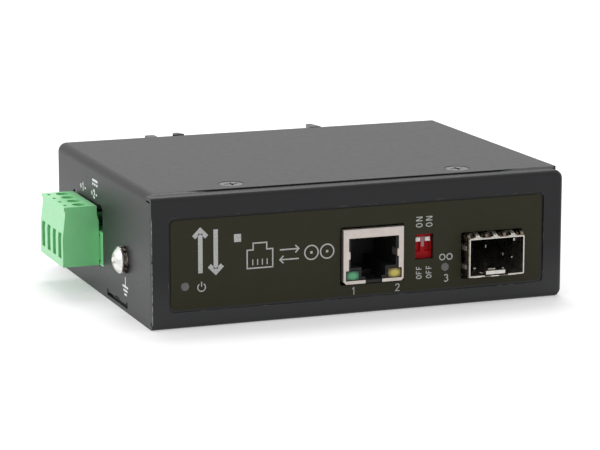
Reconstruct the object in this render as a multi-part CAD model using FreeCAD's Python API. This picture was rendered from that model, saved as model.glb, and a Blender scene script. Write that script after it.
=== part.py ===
# Industrial media converter: a folded steel box with a copper port, a fibre module cage,
# a pluggable power terminal at its left end and a rail clip on its back.
# Millimetres. X runs to the right along the front, Y to the back, Z up.
# The origin is the centre of the housing's underside, on which the box lies.
import FreeCAD, Part
import math
import os

V = FreeCAD.Vector
AXIS_X = V(1, 0, 0)
AXIS_Y = V(0, 1, 0)
AXIS_Z = V(0, 0, 1)

# Housing
housing_width = 106.0
housing_depth = 80.0
housing_height = 32.0
sheet = 1.0
fit_gap = 0.05            # between sheets that are slid together
overlap = 0.1             # how far a cut or a joined piece runs into its neighbour
tol = 0.01                # edges nearer to a face than this belong to it
rim_drop = 0.35           # front rim lies this much under the cover's top
rim_depth = 3.4           # from the front face to the joggle
seam_gap = 0.5            # open line between the rim and the cover
cover_bend = 2.2          # outer radius of the cover's fold
rim_corner = 2.2          # round top corner of the front
floor_bend = 1.6          # folds between floor and walls
foot_cut_width = 1.2      # slanted lower right corner of the front
foot_cut_height = 2.1
front_bend = 1.2          # edge round the front face
back_corner = 2.0
lip_width = 6.0           # turned-in lips that carry the cover
lip_bend = 0.8
flange_depth = 12.0       # joggled front flange under the cover
cover_inset = 0.35        # cover's cut edge inside the right wall
corner_relief = 1.4
relief_height = 0.5       # open slot over the left wall, under the rim's end
foot_notch = 0.5

# Label and its recess in the front
label_width = 95.4
label_sill = 4.55         # front below the label
label_brow = 6.05         # front above the label
label_x = -0.6
label_corner = 1.3
label_thickness = 0.3
recess_depth = 0.45
recess_margin = 0.6

# Circuit board
board_top = 7.15
board_thickness = 1.6
board_corner = 1.5
board_front_gap = 2.6     # board edge to the front face
board_back_gap = 3.5
board_left_gap = 2.0
board_right_gap = 2.5
standoff_x = 45.5
standoff_front_gap = 10.4  # standoff to the board's front edge
standoff_back_gap = 5.0
standoff_flats = 5.0
standoff_shank = 2.1
screw3_shank = 1.4        # small machine screws
screw3_hole = 1.5
screw3_pan_head = 2.7
screw3_pan_height = 1.9
screw3_flat_head = 2.85
board_screw_length = 3.2

# Cover and clip screws
cover_screw_pitch = 58.6
cover_screw_x = -0.7
cover_screw_back = 9.7    # behind the front face
cover_screw_length = 5.0
countersink_gap = 0.3
screw_sunk = 0.1
boss_radius = 2.5
boss_height = 1.4
back_screw_x = -47.3
back_tab_width = 7.5
back_tab_low = 9.0
back_tab_top_gap = 5.0
back_screw_length = 4.0

# Copper port
jack_x = 2.42
jack_width = 15.7
jack_height = 13.35
jack_stand = 0.4          # pads that lift the port off the board
jack_pad = 1.5
jack_length = 25.0
jack_tails = (8.9, 15.0)
jack_proud = 1.0          # in front of the front face
jack_sheet = 0.3
jack_gap = 0.4            # to its cut-out
jack_mouth = 12.9         # opening in the shield's front
jack_brow = 2.2           # shield above the opening
jack_sill = 0.8           # shield below the opening
jack_notch_gap = 0.12     # the opening widens round the lamps by this
jack_foot_cut = 0.7       # slanted lower corners of the shield
lamp_width = 3.4
lamp_height = 2.3
lamp_length = 8.0
lamp_edge = 0.3
lamp_inset = 0.75         # lamp to the shield's side
lamp_lift = 0.85
lamp_sink = 0.1
plug_cavity = 11.7
plug_cavity_height = 7.1
plug_cavity_lift = 3.9
plug_cavity_depth = 14.5
latch_channel = 6.2
latch_channel_lift = 1.6
latch_slot = 4.3
latch_floor = 0.7
side_spring_height = 1.8
side_spring_lift = 6.1
side_spring_root = 0.35
side_spring_length = 3.0
side_spring_reach = 0.55
contact_pitch = 1.27
contact_count = 8
contact_wire = 0.4
contact_tip = 8.7         # height of the contacts' tips over the port's underside
contact_reach = 11.0
contact_start = 3.4       # first bend behind the port's face
board_tail = 0.9          # square tails through the board
board_tail_gap = 0.2

# Fibre module cage
cage_x = 33.87
cage_width = 14.65
cage_height = 9.55
cage_length = 48.8
cage_proud = 3.0
cage_sheet = 0.3
cage_corner = 0.35
cage_lift = 0.05
cage_side_gap = 0.82      # cage to its cut-out
cage_over_gap = 1.1
cage_under_gap = 0.8
cage_tails = (9.0, 21.0, 33.0)
tongue_width = 5.1
tongue_length = 3.6
tongue_setback = 0.6      # turned-up end behind the cage's edge
tongue_lip = 0.9
tongue_rise = 0.3
tongue_slit = 0.55
vent_radius = 0.9
vent_pitch = 3.2
vent_columns = 3
vent_rows = 4
collar_sheet = 0.15
collar_width = 0.8
collar_setback = 0.35
finger_length = 4.6
finger_width = 1.1
finger_gap = 0.12         # crest to the cut-out
finger_pitch = 4.7
short_finger_length = 3.0
short_finger_width = 0.7
host_width = 13.2
host_depth = 8.5
host_height = 5.9
host_slot_width = 11.4
host_slot_height = 1.5
host_slot_lift = 2.9
host_slot_depth = 5.0
host_edge = 0.5

# Slide switches
switch_x = 16.0
switch_window_x = 15.95
switch_window_width = 4.8
switch_window_height = 6.2
switch_window_z = 15.15
switch_body_width = 6.7
switch_body_top = 18.6
switch_body_depth = 5.0
switch_gap = 0.15         # behind the front
switch_edge = 0.3
switch_pitch = 2.54
slider_width = 1.3
slider_height = 1.1
slider_travel = 2.5
slider_top = 17.35
slider_proud = 0.5
slider_depth = 0.6
slider_edge = 0.12
slider_gap = 0.05

# Indicator lamps with light pipes
power_lamp_x = -44.8
power_lamp_z = 10.05
link_lamp_x = 21.5
link_lamp_z = 9.7
pipe_radius = 1.0
pipe_gap = 0.1
pipe_length = 5.5
lamp_chip = 1.6
lamp_chip_length = 2.56
lamp_chip_height = 0.8

# Power terminal: header on the board and plug
poles = 4
pole_pitch = 5.08
terminal_y = 13.5
plug_end_wall = 0.3
plug_floor = 0.8
plug_bottom = 7.15
plug_top = 22.2
plug_out = 9.4            # beyond the left wall
plug_lean = 0.7
plug_lean_from = 14.4
plug_lean_to = 20.0
plug_brim = 0.25          # ledge round the top of the outer face
plug_brim_height = 0.8
plug_step = 0.45          # the inner face slants away from the wall here
plug_step_from = 18.3
plug_step_to = 19.9
plug_edge = 0.2
header_in = 0.05          # mouth inside the left wall's face
header_length = 12.0
header_height = 8.65
header_wall = 1.0
header_end_wall = 2.3
header_back_wall = 1.5
header_slack = 0.6        # plug to the header's end walls
plug_header_gap = 0.15
tongue_gap = 0.3
tongue_depth = 9.4
window_margin = 0.2
window_top = 22.45
window_corner = 2.0
entry_width = 2.8
entry_bottom = 9.1
entry_top = 15.5
screw_well_radius = 1.65
screw_axis_out = 4.3      # screw axis beyond the left wall
clamp_length = 4.6
clamp_width = 3.2
clamp_height = 7.0
clamp_side = 0.45
clamp_floor = 0.8
clamp_roof = 1.2
clamp_travel = 2.0
clamp_gap = 0.05
clamp_play = 0.3          # towards the wire entry
clamp_edge = 0.3
well_floor = 18.0
terminal_screw_head = 1.5
terminal_screw_head_height = 2.0
terminal_screw_shank = 1.1
terminal_screw_slot = 0.6
terminal_screw_slot_depth = 0.8
terminal_screw_edge = 0.25
terminal_screw_tip = 14.2
pin_size = 1.0
pin_hole = 0.8
pin_z = 11.2
pin_reach = 9.8
pin_tail = 3.2
socket_size = 2.0
socket_bore = 1.3
socket_length = 8.6
bar_width = 2.2
bar_thickness = 0.8
bar_z = 12.9
key_slot_width = 1.6
key_slot_length = 0.8
key_slot_depth = 1.2
key_slot_in = 0.5

# Earth screw on the left wall
earth_y = -18.6
earth_z = 12.9
earth_head = 3.3
earth_head_height = 1.95
earth_crown = 0.2         # share of the head's height below its dome
earth_shank = 2.0
earth_hole = 2.7
earth_screw_length = 8.0
washer_inner = 2.15
washer_ring = 2.75
washer_outer = 3.35
washer_sheet = 0.6
washer_stand = 1.2
washer_teeth = 12
tooth_share = 0.7         # tooth width to the teeth's pitch
tooth_twist = 33
tooth_root = 0.5
nut_radius = 3.7
nut_height = 2.4
nut_bore = 2.05
nut_chamfer = 0.4

# Hook slit at the foot of the left wall
slit_y = -11.75
slit_length = 17.1
slit_z = 0.95
slit_height = 1.0
slit_end_rise = 0.7
slit_end_width = 0.9
slit_bump = 3.0
slit_bump_rise = 0.35
hook_margin = 2.7
hook_thickness = 0.55
hook_reach = 0.3

# Clip for a 35 mm rail
rail_width = 35.0
rail_lip = 1.0
rail_gap = 0.1            # rail edge to each hook
rail_lip_gap = 0.2
clip_plate_margin = 0.8   # plate inside the housing's height, at each end
clip_hook_margin = 0.2
clip_thickness = 3.2
clip_left = -24.5
clip_corner = 1.5
hook_base = 3.2
fixed_hook_out = 4.2
latch_hook_out = 2.8
hook_crest = 1.4
hook_lip = 1.8
hook_lip_thickness = 1.1
hook_lip_tip = 0.66
hook_root = 1.0
hook_lip_height = 20.0
channel_height = 16.0
channel_floor = 0.8
channel_roof = 0.8
slide_gap = 0.08
slide_end_gap = 0.48
slide_tail = 0.5
latch_travel = 3.5
latch_end = -9.0
latch_tab_left = -28.2
latch_tab_width = 2.6
latch_tab_out = 1.4
latch_tab_gap = 0.6
latch_tab_edge = 0.6
latch_neck_height = 12.0
spring_window_height = 6.0
spring_window_length = 7.0
spring_legs = 5
spring_strip = 0.3
spring_height = 4.6
spring_post = 1.2
clip_screw_left_x = -12.0
clip_screw_right_x = 9.0
clip_screw_margin = 3.6   # screw to the plate's end
clip_screw_length = 6.0

# Parts on the board
chip_size = 14.0
chip_height = 1.4
chip_lift = 0.1
chip_edge = 0.4
chip_x = 6.0
chip_y = 5.0
chip_leads = 12
chip_lead_pitch = 0.9
chip_lead_width = 0.4
chip_lead_reach = 1.0
chip_lead_thickness = 0.25
chip_lead_root = 0.2
magnetics_x = -19.0
magnetics_y = -22.0
magnetics_length = 15.2
magnetics_width = 9.8
magnetics_height = 5.4
magnetics_edge = 0.6
transformer_x = -15.0
transformer_back_gap = 16.0
transformer_length = 17.5
transformer_width = 15.0
transformer_height = 12.5
transformer_bobbin = 11.0
transformer_lift = 1.0    # core over the board
transformer_drop = 2.5    # bobbin under the core's top
transformer_edge = 0.8
capacitor_radius = 5.0
capacitor_height = 11.5
capacitor_x = -33.0
capacitor_y = 3.0
capacitor_pitch = 11.5
can_edge = 0.5
can_groove = 0.5
can_groove_z = 1.6
inductor_x = 8.0
inductor_back_gap = 11.5
inductor_size = 12.0
inductor_height = 6.0
inductor_corner = 2.5
inductor_dish = 4.3
inductor_dish_depth = 0.4
crystal_x = 25.0
crystal_y = 16.0
crystal_length = 11.0
crystal_width = 4.6
crystal_height = 3.5
crystal_rim = 0.4
crystal_rim_height = 0.5
fuse_x = -33.0
fuse_back_gap = 7.0
fuse_length = 10.0
fuse_radius = 2.5
fuse_cap = 2.2
fuse_cap_sheet = 0.3

# Places that follow from the sizes above
left = -housing_width / 2
right = housing_width / 2
front = -housing_depth / 2
back = housing_depth / 2
seat = housing_height - sheet
rim_top = housing_height - rim_drop
floor_left = left + sheet + fit_gap
recess_floor = front + recess_depth
pad_back = recess_floor + sheet
label_face = recess_floor - label_thickness
label_height = housing_height - label_sill - label_brow
label_z = label_sill + label_height / 2
cover_front = front + rim_depth + seam_gap
cover_right = right - cover_inset
board_bottom = board_top - board_thickness
board_front = front + board_front_gap
board_back = back - board_back_gap
board_left = left + board_left_gap
board_right = right - board_right_gap
standoff_front_y = board_front + standoff_front_gap
standoff_back_y = board_back - standoff_back_gap
transformer_y = board_back - transformer_back_gap
inductor_y = board_back - inductor_back_gap
fuse_y = board_back - fuse_back_gap
jack_face = front - jack_proud
jack_bottom = board_top + jack_stand
jack_top = jack_bottom + jack_height
cage_face = front - cage_proud
cage_bottom = board_top + cage_lift
cage_top = cage_bottom + cage_height
cage_window_width = cage_width + 2 * cage_side_gap
cage_window_height = cage_height + cage_over_gap + cage_under_gap
cage_window_z = cage_bottom - cage_under_gap + cage_window_height / 2
switch_face = pad_back + switch_gap
plug_face = left - plug_out
plug_width = poles * pole_pitch + 2 * plug_end_wall
header_mouth = left + header_in
header_width = plug_width + 2 * (header_slack + header_end_wall)
header_top = board_top + header_height
plug_back = header_mouth - plug_header_gap
screw_axis = left - screw_axis_out
clamp_bottom = plug_bottom + plug_floor + clamp_gap
rail_plane = back + clip_thickness
clip_middle_z = housing_height / 2
clip_plate_height = housing_height - 2 * clip_plate_margin
clip_hook_height = housing_height - 2 * clip_hook_margin
clip_screw_spread = clip_plate_height / 2 - clip_screw_margin
back_tab_top = housing_height - back_tab_top_gap
back_screw_z = (back_tab_low + back_tab_top) / 2
rail_half = rail_width / 2 + rail_gap


# Shapes used by several pieces
def block(x0, x1, y0, y1, z0, z1):
    return Part.makeBox(x1 - x0, y1 - y0, z1 - z0, V(x0, y0, z0))


def centred_block(x, y, z0, length, width, height):
    return block(x - length / 2, x + length / 2, y - width / 2, y + width / 2, z0, z0 + height)


def rod(radius, start, direction, length):
    return Part.makeCylinder(radius, length, start, direction)


def middle(edge):
    return edge.BoundBox.Center


def runs_along(edge, axis):
    box = edge.BoundBox
    size = {"x": box.XLength, "y": box.YLength, "z": box.ZLength}
    return all(size[a] < 1e-4 for a in size if a != axis)


def fillet_where(shape, radius, test):
    return shape.makeFillet(radius, [edge for edge in shape.Edges if test(edge)])


def rounded_window(x, z, width, height, y0, y1, radius):
    window = centred_block(x, (y0 + y1) / 2, z - height / 2, width, y1 - y0, height)
    return fillet_where(window, radius, lambda e: runs_along(e, "y"))


def joined(pieces):
    return pieces[0].fuse(pieces[1:]).removeSplitter()


def section(points, direction):
    return Part.Face(Part.makePolygon(points + points[:1])).extrude(direction)


def side_section(points, x0, x1):
    # Profile given as (y, z), pushed along X
    return section([V(x0, y, z) for y, z in points], V(x1 - x0, 0, 0))


def front_section(points, y0, y1):
    # Profile given as (x, z), pushed along Y
    return section([V(x, y0, z) for x, z in points], V(0, y1 - y0, 0))


def plan_section(points, z0, z1):
    # Profile given as (x, y), pushed along Z
    return section([V(x, y, z0) for x, y in points], V(0, 0, z1 - z0))


# Machine screws, drawn upright with the head up and z = 0 at the head's seat or top
def cross_recess(span, width, depth):
    # Two crossed slots whose ends slope in to the point of a cross driver
    half = span / 2
    foot = span / 5
    slope = [V(-half, -width / 2, 0), V(half, -width / 2, 0),
             V(foot, -width / 2, -depth), V(-foot, -width / 2, -depth)]
    arm = section(slope, V(0, width, 0))
    other = arm.copy()
    other.rotate(V(0, 0, 0), AXIS_Z, 90)
    return arm.fuse(other)


def pan_screw(head_radius, head_height, shank_radius, length, crown_share=0.45):
    crown = head_height * crown_share
    rise = head_height - crown
    bow = (head_radius ** 2 + rise ** 2) / (2 * rise)
    start = V(0, 0, head_height)
    shoulder = V(head_radius / 2, 0, head_height - bow + math.sqrt(bow ** 2 - head_radius ** 2 / 4))
    arc = Part.Arc(start, shoulder, V(head_radius, 0, crown)).toShape()
    side = Part.makePolygon([V(head_radius, 0, crown), V(head_radius, 0, 0), V(shank_radius, 0, 0),
                             V(shank_radius, 0, -length), V(0, 0, -length), start])
    outline = Part.Wire([arc] + side.Edges)
    body = Part.Face(outline).revolve(V(0, 0, 0), AXIS_Z, 360)
    recess = cross_recess(head_radius * 1.15, head_radius * 0.26, head_height * 0.62)
    recess.translate(V(0, 0, head_height))
    return body.cut(recess)


def flat_screw(head_radius, shank_radius, length):
    cone = head_radius - shank_radius
    outline = Part.makePolygon([V(0, 0, 0), V(head_radius, 0, 0), V(shank_radius, 0, -cone),
                                V(shank_radius, 0, -length), V(0, 0, -length), V(0, 0, 0)])
    body = Part.Face(outline).revolve(V(0, 0, 0), AXIS_Z, 360)
    return body.cut(cross_recess(head_radius * 1.2, head_radius * 0.24, head_radius * 0.42))


def countersink(radius, depth):
    # Funnel that opens upwards to its full radius at z = 0
    return Part.makeCone(radius - depth, radius, depth, V(0, 0, -depth), AXIS_Z)


def put(shape, place, axis=None, angle=0):
    moved = shape.copy()
    if axis:
        moved.rotate(V(0, 0, 0), axis, angle)
    moved.translate(place)
    return moved


def port_windows():
    # Openings for the two ports and the switches, through the label and the front
    y0 = front - sheet
    y1 = pad_back + sheet
    jack = rounded_window(jack_x, jack_bottom + jack_height / 2, jack_width + 2 * jack_gap,
                          jack_height + 2 * jack_gap, y0, y1, jack_gap)
    cage = rounded_window(cage_x, cage_window_z, cage_window_width, cage_window_height, y0, y1, jack_gap)
    switch = centred_block(switch_window_x, (y0 + y1) / 2, switch_window_z - switch_window_height / 2,
                           switch_window_width, y1 - y0, switch_window_height)
    return [jack, cage, switch]


def cover_screw_places():
    half = cover_screw_pitch / 2
    y = front + cover_screw_back
    return [(cover_screw_x - half, y), (cover_screw_x + half, y)]


def standoff_places():
    return [(x, y) for x in (-standoff_x, standoff_x) for y in (standoff_front_y, standoff_back_y)]


def clip_screw_places():
    spread = (-clip_screw_spread, clip_screw_spread)
    return [(x, clip_middle_z + z) for x in (clip_screw_left_x, clip_screw_right_x) for z in spread]


def pole_places():
    first = terminal_y - (poles - 1) * pole_pitch / 2
    return [first + i * pole_pitch for i in range(poles)]


def jack_tail_places():
    side = jack_width / 2 - jack_sheet / 2
    return [(jack_x + s * side, jack_face + y) for s in (-1, 1) for y in jack_tails]


def cage_tail_places():
    side = cage_width / 2 - cage_sheet / 2
    return [(cage_x + s * side, front + y) for s in (-1, 1) for y in cage_tails]


# Chassis: floor, front, right and back walls folded from one sheet
def chassis_front():
    # Drawn front with a round top corner and its top edge folded back to the seam
    rim_back = front + rim_depth
    cap = block(left, right, front, rim_back, 0, rim_top)
    cap = fillet_where(cap, rim_corner,
                       lambda e: runs_along(e, "y") and middle(e).x > 0 and middle(e).z > seat / 2)
    cap = fillet_where(cap, floor_bend,
                       lambda e: runs_along(e, "y") and middle(e).x > 0 and middle(e).z < seat / 2)
    cap = fillet_where(cap, front_bend,
                       lambda e: e.BoundBox.YMax < front + 0.01 and e.BoundBox.XMax > left + 0.01)
    hollow = block(left - sheet, right - sheet, front + sheet, rim_back, sheet, rim_top - sheet)
    hollow = fillet_where(hollow, rim_corner - sheet,
                          lambda e: runs_along(e, "y") and middle(e).x > 0 and middle(e).z > seat / 2)
    hollow = fillet_where(hollow, floor_bend,
                          lambda e: runs_along(e, "y") and middle(e).x > 0 and middle(e).z < seat / 2)
    pad = rounded_window(label_x, label_z, label_width + 2 * recess_margin,
                         label_height + 2 * recess_margin, front + sheet / 2, pad_back, label_corner)
    side_gap = block(left - sheet, floor_left, front + sheet, rim_back, 0, rim_top - sheet)
    notch = block(left - sheet, left + foot_notch, front + sheet / 2, rim_back, sheet, 2 * sheet)
    foot = front_section([(right - foot_cut_width, 0), (right, foot_cut_height),
                          (right + sheet, foot_cut_height), (right + sheet, -sheet),
                          (right - foot_cut_width, -sheet)], front - sheet, rim_back)
    return joined([cap.cut(hollow), pad]).cut(side_gap.multiFuse([notch, foot]))


def chassis_tray():
    # Floor, right wall and back wall, with lips that carry the cover
    tray = block(floor_left, right, front + 2 * sheet, back, 0, seat)
    tray = fillet_where(tray, back_corner,
                        lambda e: runs_along(e, "z") and middle(e).x > 0 and middle(e).y > 0)
    tray = fillet_where(tray, floor_bend,
                        lambda e: e.BoundBox.ZMax < 0.01 and (middle(e).x > right - back_corner
                                                              or middle(e).y > back - back_corner))
    tray = fillet_where(tray, lip_bend,
                        lambda e: e.BoundBox.ZMin > seat - 0.01 and (middle(e).x > right - back_corner
                                                                     or middle(e).y > back - back_corner))
    hollow = block(left, right - sheet, front, back - sheet, sheet, seat - sheet)
    opening = block(left, right - lip_width, front, back - lip_width, sheet, seat + sheet)
    fold_relief = block(left, left + cover_bend + fit_gap, front, back + sheet,
                        seat - cover_bend, seat + sheet)
    return tray.cut(hollow).cut(opening).cut(fold_relief)


def joggled_flange():
    # Tongue that steps down from the rim and lies under the cover's front edge
    rim_back = front + rim_depth
    side = left + 2 * corner_relief
    flange = block(side, right - lip_width - sheet, rim_back - sheet, rim_back + flange_depth,
                   seat - sheet, seat)
    pieces = [flange]
    for x, y in cover_screw_places():
        pieces.append(rod(boss_radius, V(x, y, seat - sheet - boss_height), AXIS_Z, boss_height))
    return joined(pieces)


def make_chassis():
    body = joined([chassis_front(), chassis_tray(), joggled_flange()])
    cuts = [rounded_window(label_x, label_z, label_width + 2 * recess_margin,
                           label_height + 2 * recess_margin, front - sheet, recess_floor, label_corner)]
    cuts += port_windows()
    for x, z in ((power_lamp_x, power_lamp_z), (link_lamp_x, link_lamp_z)):
        cuts.append(rod(pipe_radius + pipe_gap, V(x, front, z), AXIS_Y, pad_back + sheet - front))
    for x, y in standoff_places():
        cuts.append(rod(standoff_shank + fit_gap, V(x, y, -sheet), AXIS_Z, 3 * sheet))
    for x, y in cover_screw_places():
        cuts.append(rod(screw3_hole, V(x, y, seat - 4 * sheet), AXIS_Z, 5 * sheet))
        cuts.append(put(countersink(screw3_flat_head + countersink_gap, screw3_flat_head - screw3_shank),
                        V(x, y, housing_height)))
    for x, z in clip_screw_places():
        cuts.append(rod(screw3_hole, V(x, back - 2 * sheet, z), AXIS_Y, 3 * sheet))
    cuts.append(rod(screw3_hole, V(back_screw_x, back - 2 * sheet, back_screw_z), AXIS_Y, 3 * sheet))
    tip = slit_z + fit_gap / 2
    top = slit_z + hook_thickness
    root = floor_left + 2 * sheet
    outline = [(floor_left - hook_reach, tip), (floor_left, tip), (floor_left, sheet - fit_gap),
               (root, sheet - fit_gap), (root, top), (floor_left - hook_reach, top)]
    hook = front_section(outline, slit_y - slit_length / 2 + hook_margin,
                         slit_y + slit_length / 2 - hook_margin)
    return joined([body.cut(cuts[0].multiFuse(cuts[1:])), hook])


# Cover: top and left wall folded from one sheet
def make_cover():
    outer = block(left, cover_right, front + sheet + 2 * fit_gap, back, 0, housing_height)
    outer = fillet_where(outer, cover_bend,
                         lambda e: runs_along(e, "y") and middle(e).x < 0 and middle(e).z > seat)
    inner = block(left + sheet, right, front, back + sheet, -sheet, seat)
    inner = fillet_where(inner, cover_bend - sheet,
                         lambda e: runs_along(e, "y") and middle(e).x < 0 and middle(e).z > seat - sheet)
    body = outer.cut(inner)
    body = body.cut(block(left - sheet, right, front, cover_front,
                          rim_top - sheet - relief_height, housing_height + sheet))
    tab_y = back - sheet - fit_gap
    tab = block(left + sheet / 2, left + sheet + back_tab_width, tab_y - sheet, tab_y,
                back_tab_low, back_tab_top)
    tab = fillet_where(tab, sheet, lambda e: runs_along(e, "y") and middle(e).x > left + 2 * sheet)
    body = joined([body, tab])
    cuts = []
    for x, y in cover_screw_places():
        cuts.append(put(countersink(screw3_flat_head + countersink_gap, screw3_flat_head - screw3_shank),
                        V(x, y, housing_height)))
    window_half = header_width / 2 + window_margin
    window = block(left - sheet, left + 1.5 * sheet, terminal_y - window_half, terminal_y + window_half,
                   board_top - window_margin, window_top)
    window = fillet_where(window, window_corner, lambda e: runs_along(e, "x") and middle(e).z > board_top)
    cuts.append(fillet_where(window, window_margin, lambda e: runs_along(e, "x") and middle(e).z < board_top))
    cuts.append(rod(earth_hole, V(left - sheet, earth_y, earth_z), AXIS_X, 2.5 * sheet))
    cuts.append(rod(screw3_hole, V(back_screw_x, tab_y - 2 * sheet, back_screw_z), AXIS_Y, 3 * sheet))
    slit_top = slit_z + slit_height
    half = slit_length / 2
    wall = (left - sheet, left + 1.5 * sheet)
    cuts.append(block(*wall, slit_y - half, slit_y + half, slit_z, slit_top))
    for y in (slit_y - half, slit_y + half - slit_end_width):
        cuts.append(block(*wall, y, y + slit_end_width, slit_z, slit_top + slit_end_rise))
    cuts.append(block(*wall, slit_y - slit_bump / 2, slit_y + slit_bump / 2, slit_z,
                      slit_top + slit_bump_rise))
    return body.cut(cuts[0].multiFuse(cuts[1:]))


def make_front_label():
    # Printed film in the recess, cut out for the ports, the switches and the lamps
    film = rounded_window(label_x, label_z, label_width, label_height, label_face, recess_floor, label_corner)
    for window in port_windows():
        film = film.cut(window)
    for x, z in ((power_lamp_x, power_lamp_z), (link_lamp_x, link_lamp_z)):
        film = film.cut(rod(pipe_radius + fit_gap, V(x, front - sheet, z), AXIS_Y, pad_back + sheet - front))
    return film


def make_cover_screws():
    screw = flat_screw(screw3_flat_head, screw3_shank, cover_screw_length)
    return Part.Compound([put(screw, V(x, y, housing_height - screw_sunk)) for x, y in cover_screw_places()])


def make_back_screw():
    screw = pan_screw(screw3_pan_head, screw3_pan_height, screw3_shank, back_screw_length)
    return put(screw, V(back_screw_x, back, back_screw_z), AXIS_X, -90)


# Board and what holds it
def make_circuit_board():
    board = block(board_left, board_right, board_front, board_back, board_bottom, board_top)
    board = fillet_where(board, board_corner, lambda e: runs_along(e, "z"))
    deep = board_bottom - sheet
    holes = [rod(screw3_hole, V(x, y, deep), AXIS_Z, 3 * sheet + board_thickness)
             for x, y in standoff_places()]
    pin_x = header_mouth + header_length + pin_size / 2
    for y in pole_places():
        holes.append(rod(pin_hole, V(pin_x, y, deep), AXIS_Z, 3 * sheet + board_thickness))
    hole = board_tail / 2 + board_tail_gap
    for x, y in jack_tail_places() + cage_tail_places():
        holes.append(block(x - hole, x + hole, y - hole, y + hole, deep, board_top + sheet))
    return board.cut(holes[0].multiFuse(holes[1:]))


def make_board_standoffs():
    corner = standoff_flats / math.sqrt(3)
    outline = [V(corner * math.cos(math.radians(60 * i)), corner * math.sin(math.radians(60 * i)), sheet)
               for i in range(6)]
    post = section(outline, V(0, 0, board_bottom - sheet))
    shank = rod(standoff_shank, V(0, 0, fit_gap), AXIS_Z, sheet)
    bore = rod(screw3_hole, V(0, 0, 2 * sheet), AXIS_Z, board_bottom)
    post = joined([post, shank]).cut(bore)
    return Part.Compound([put(post, V(x, y, 0)) for x, y in standoff_places()])


def make_board_screws():
    screw = pan_screw(screw3_pan_head, screw3_pan_height, screw3_shank, board_screw_length)
    return Part.Compound([put(screw, V(x, y, board_top)) for x, y in standoff_places()])


# Copper port
def jack_opening(y0, y1):
    # Opening in the shield's front, wider beside the lamps and open below for the plug's latch
    lower = jack_bottom + jack_sill
    half = jack_mouth / 2
    wide = jack_width / 2 - lamp_inset + jack_notch_gap
    step = jack_bottom + lamp_lift + lamp_height + jack_notch_gap
    mouth = block(jack_x - half, jack_x + half, y0, y1, lower, jack_top - jack_brow)
    lamps = block(jack_x - wide, jack_x + wide, y0, y1, lower, step)
    latch = block(jack_x - latch_slot / 2, jack_x + latch_slot / 2, y0, y1,
                  jack_bottom - sheet, lower + overlap)
    return mouth.multiFuse([lamps, latch])


def side_spring(side):
    # Leaf folded in from the shield's front to touch the plug
    x = jack_x + side * jack_mouth / 2
    root = x - side * side_spring_root
    tip = x - side * side_spring_reach
    bend = jack_sheet * side
    z = jack_bottom + side_spring_lift
    end = jack_face + side_spring_length
    outline = [(x + bend, jack_face), (root, jack_face), (tip, end), (tip + bend, end),
               (root + bend, jack_face + jack_sheet), (x + bend, jack_face + jack_sheet)]
    return plan_section(outline, z, z + side_spring_height)


def make_rj45_shield():
    x0 = jack_x - jack_width / 2
    x1 = jack_x + jack_width / 2
    shell = block(x0, x1, jack_face, jack_face + jack_length, jack_bottom, jack_top)
    shell = shell.makeChamfer(jack_foot_cut, [e for e in shell.Edges
                                              if runs_along(e, "y") and middle(e).z < jack_bottom + tol])
    shell = fillet_where(shell, jack_sheet, lambda e: e.BoundBox.YMax < jack_face + tol
                         and middle(e).z > jack_bottom + jack_foot_cut)
    shell = shell.cut(block(x0 + jack_sheet, x1 - jack_sheet, jack_face + jack_sheet,
                            jack_face + jack_length - jack_sheet, jack_bottom - sheet, jack_top - jack_sheet))
    shell = shell.cut(jack_opening(jack_face - sheet, jack_face + 2 * jack_sheet))
    pieces = [shell, side_spring(-1), side_spring(1)]
    for x, y in jack_tail_places():
        pieces.append(centred_block(x, y, board_bottom - sheet / 2, jack_sheet, board_tail,
                                    board_thickness + jack_stand + sheet + sheet / 2))
    return joined(pieces)


def lamp_box(side, gap, y0, y1):
    outer = jack_x + side * (jack_width / 2 - lamp_inset)
    inner = outer - side * lamp_width
    z = jack_bottom + lamp_lift
    return block(min(outer, inner) - gap, max(outer, inner) + gap, y0, y1,
                 z - gap, z + lamp_height + gap)


def make_rj45_housing():
    # Moulded insert with the plug's cavity, the stepped latch channel, two lamp pockets and
    # two pads on the board
    y0 = jack_face + jack_sheet + fit_gap
    y1 = jack_face + jack_length - jack_sheet - fit_gap
    half = jack_width / 2 - jack_sheet - fit_gap
    body = block(jack_x - half, jack_x + half, y0, y1, jack_bottom, jack_top - jack_sheet - fit_gap)
    body = body.makeChamfer(jack_foot_cut, [e for e in body.Edges
                                            if runs_along(e, "y") and middle(e).z < jack_bottom + tol])
    floor = jack_bottom + plug_cavity_lift
    deep = y0 + plug_cavity_depth
    body = body.cut(block(jack_x - plug_cavity / 2, jack_x + plug_cavity / 2, y0 - sheet, deep,
                          floor, floor + plug_cavity_height))
    body = body.cut(block(jack_x - latch_channel / 2, jack_x + latch_channel / 2, y0 - sheet, deep,
                          jack_bottom + latch_channel_lift, floor + overlap))
    body = body.cut(block(jack_x - latch_slot / 2, jack_x + latch_slot / 2, y0 - sheet,
                          y0 + plug_cavity_depth / 2, jack_bottom + latch_floor, floor))
    slot_z = jack_bottom + side_spring_lift - fit_gap
    spring_end = jack_face + side_spring_length + 2 * fit_gap
    for side in (-1, 1):
        inner = jack_x + side * (plug_cavity / 2 - overlap)
        outer = jack_x + side * (half + sheet)
        body = body.cut(block(min(inner, outer), max(inner, outer), y0 - sheet, spring_end,
                              slot_z, slot_z + side_spring_height + 2 * fit_gap))
        body = body.cut(lamp_box(side, fit_gap, y0 - sheet, jack_face + lamp_sink + lamp_length + fit_gap))
    pads = []
    for side in (-1, 1):
        x = jack_x + side * (half - jack_foot_cut - jack_pad / 2)
        pads.append(block(x - jack_pad / 2, x + jack_pad / 2, board_front, y1,
                          board_top, jack_bottom + overlap))
    return joined([body] + pads)


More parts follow.
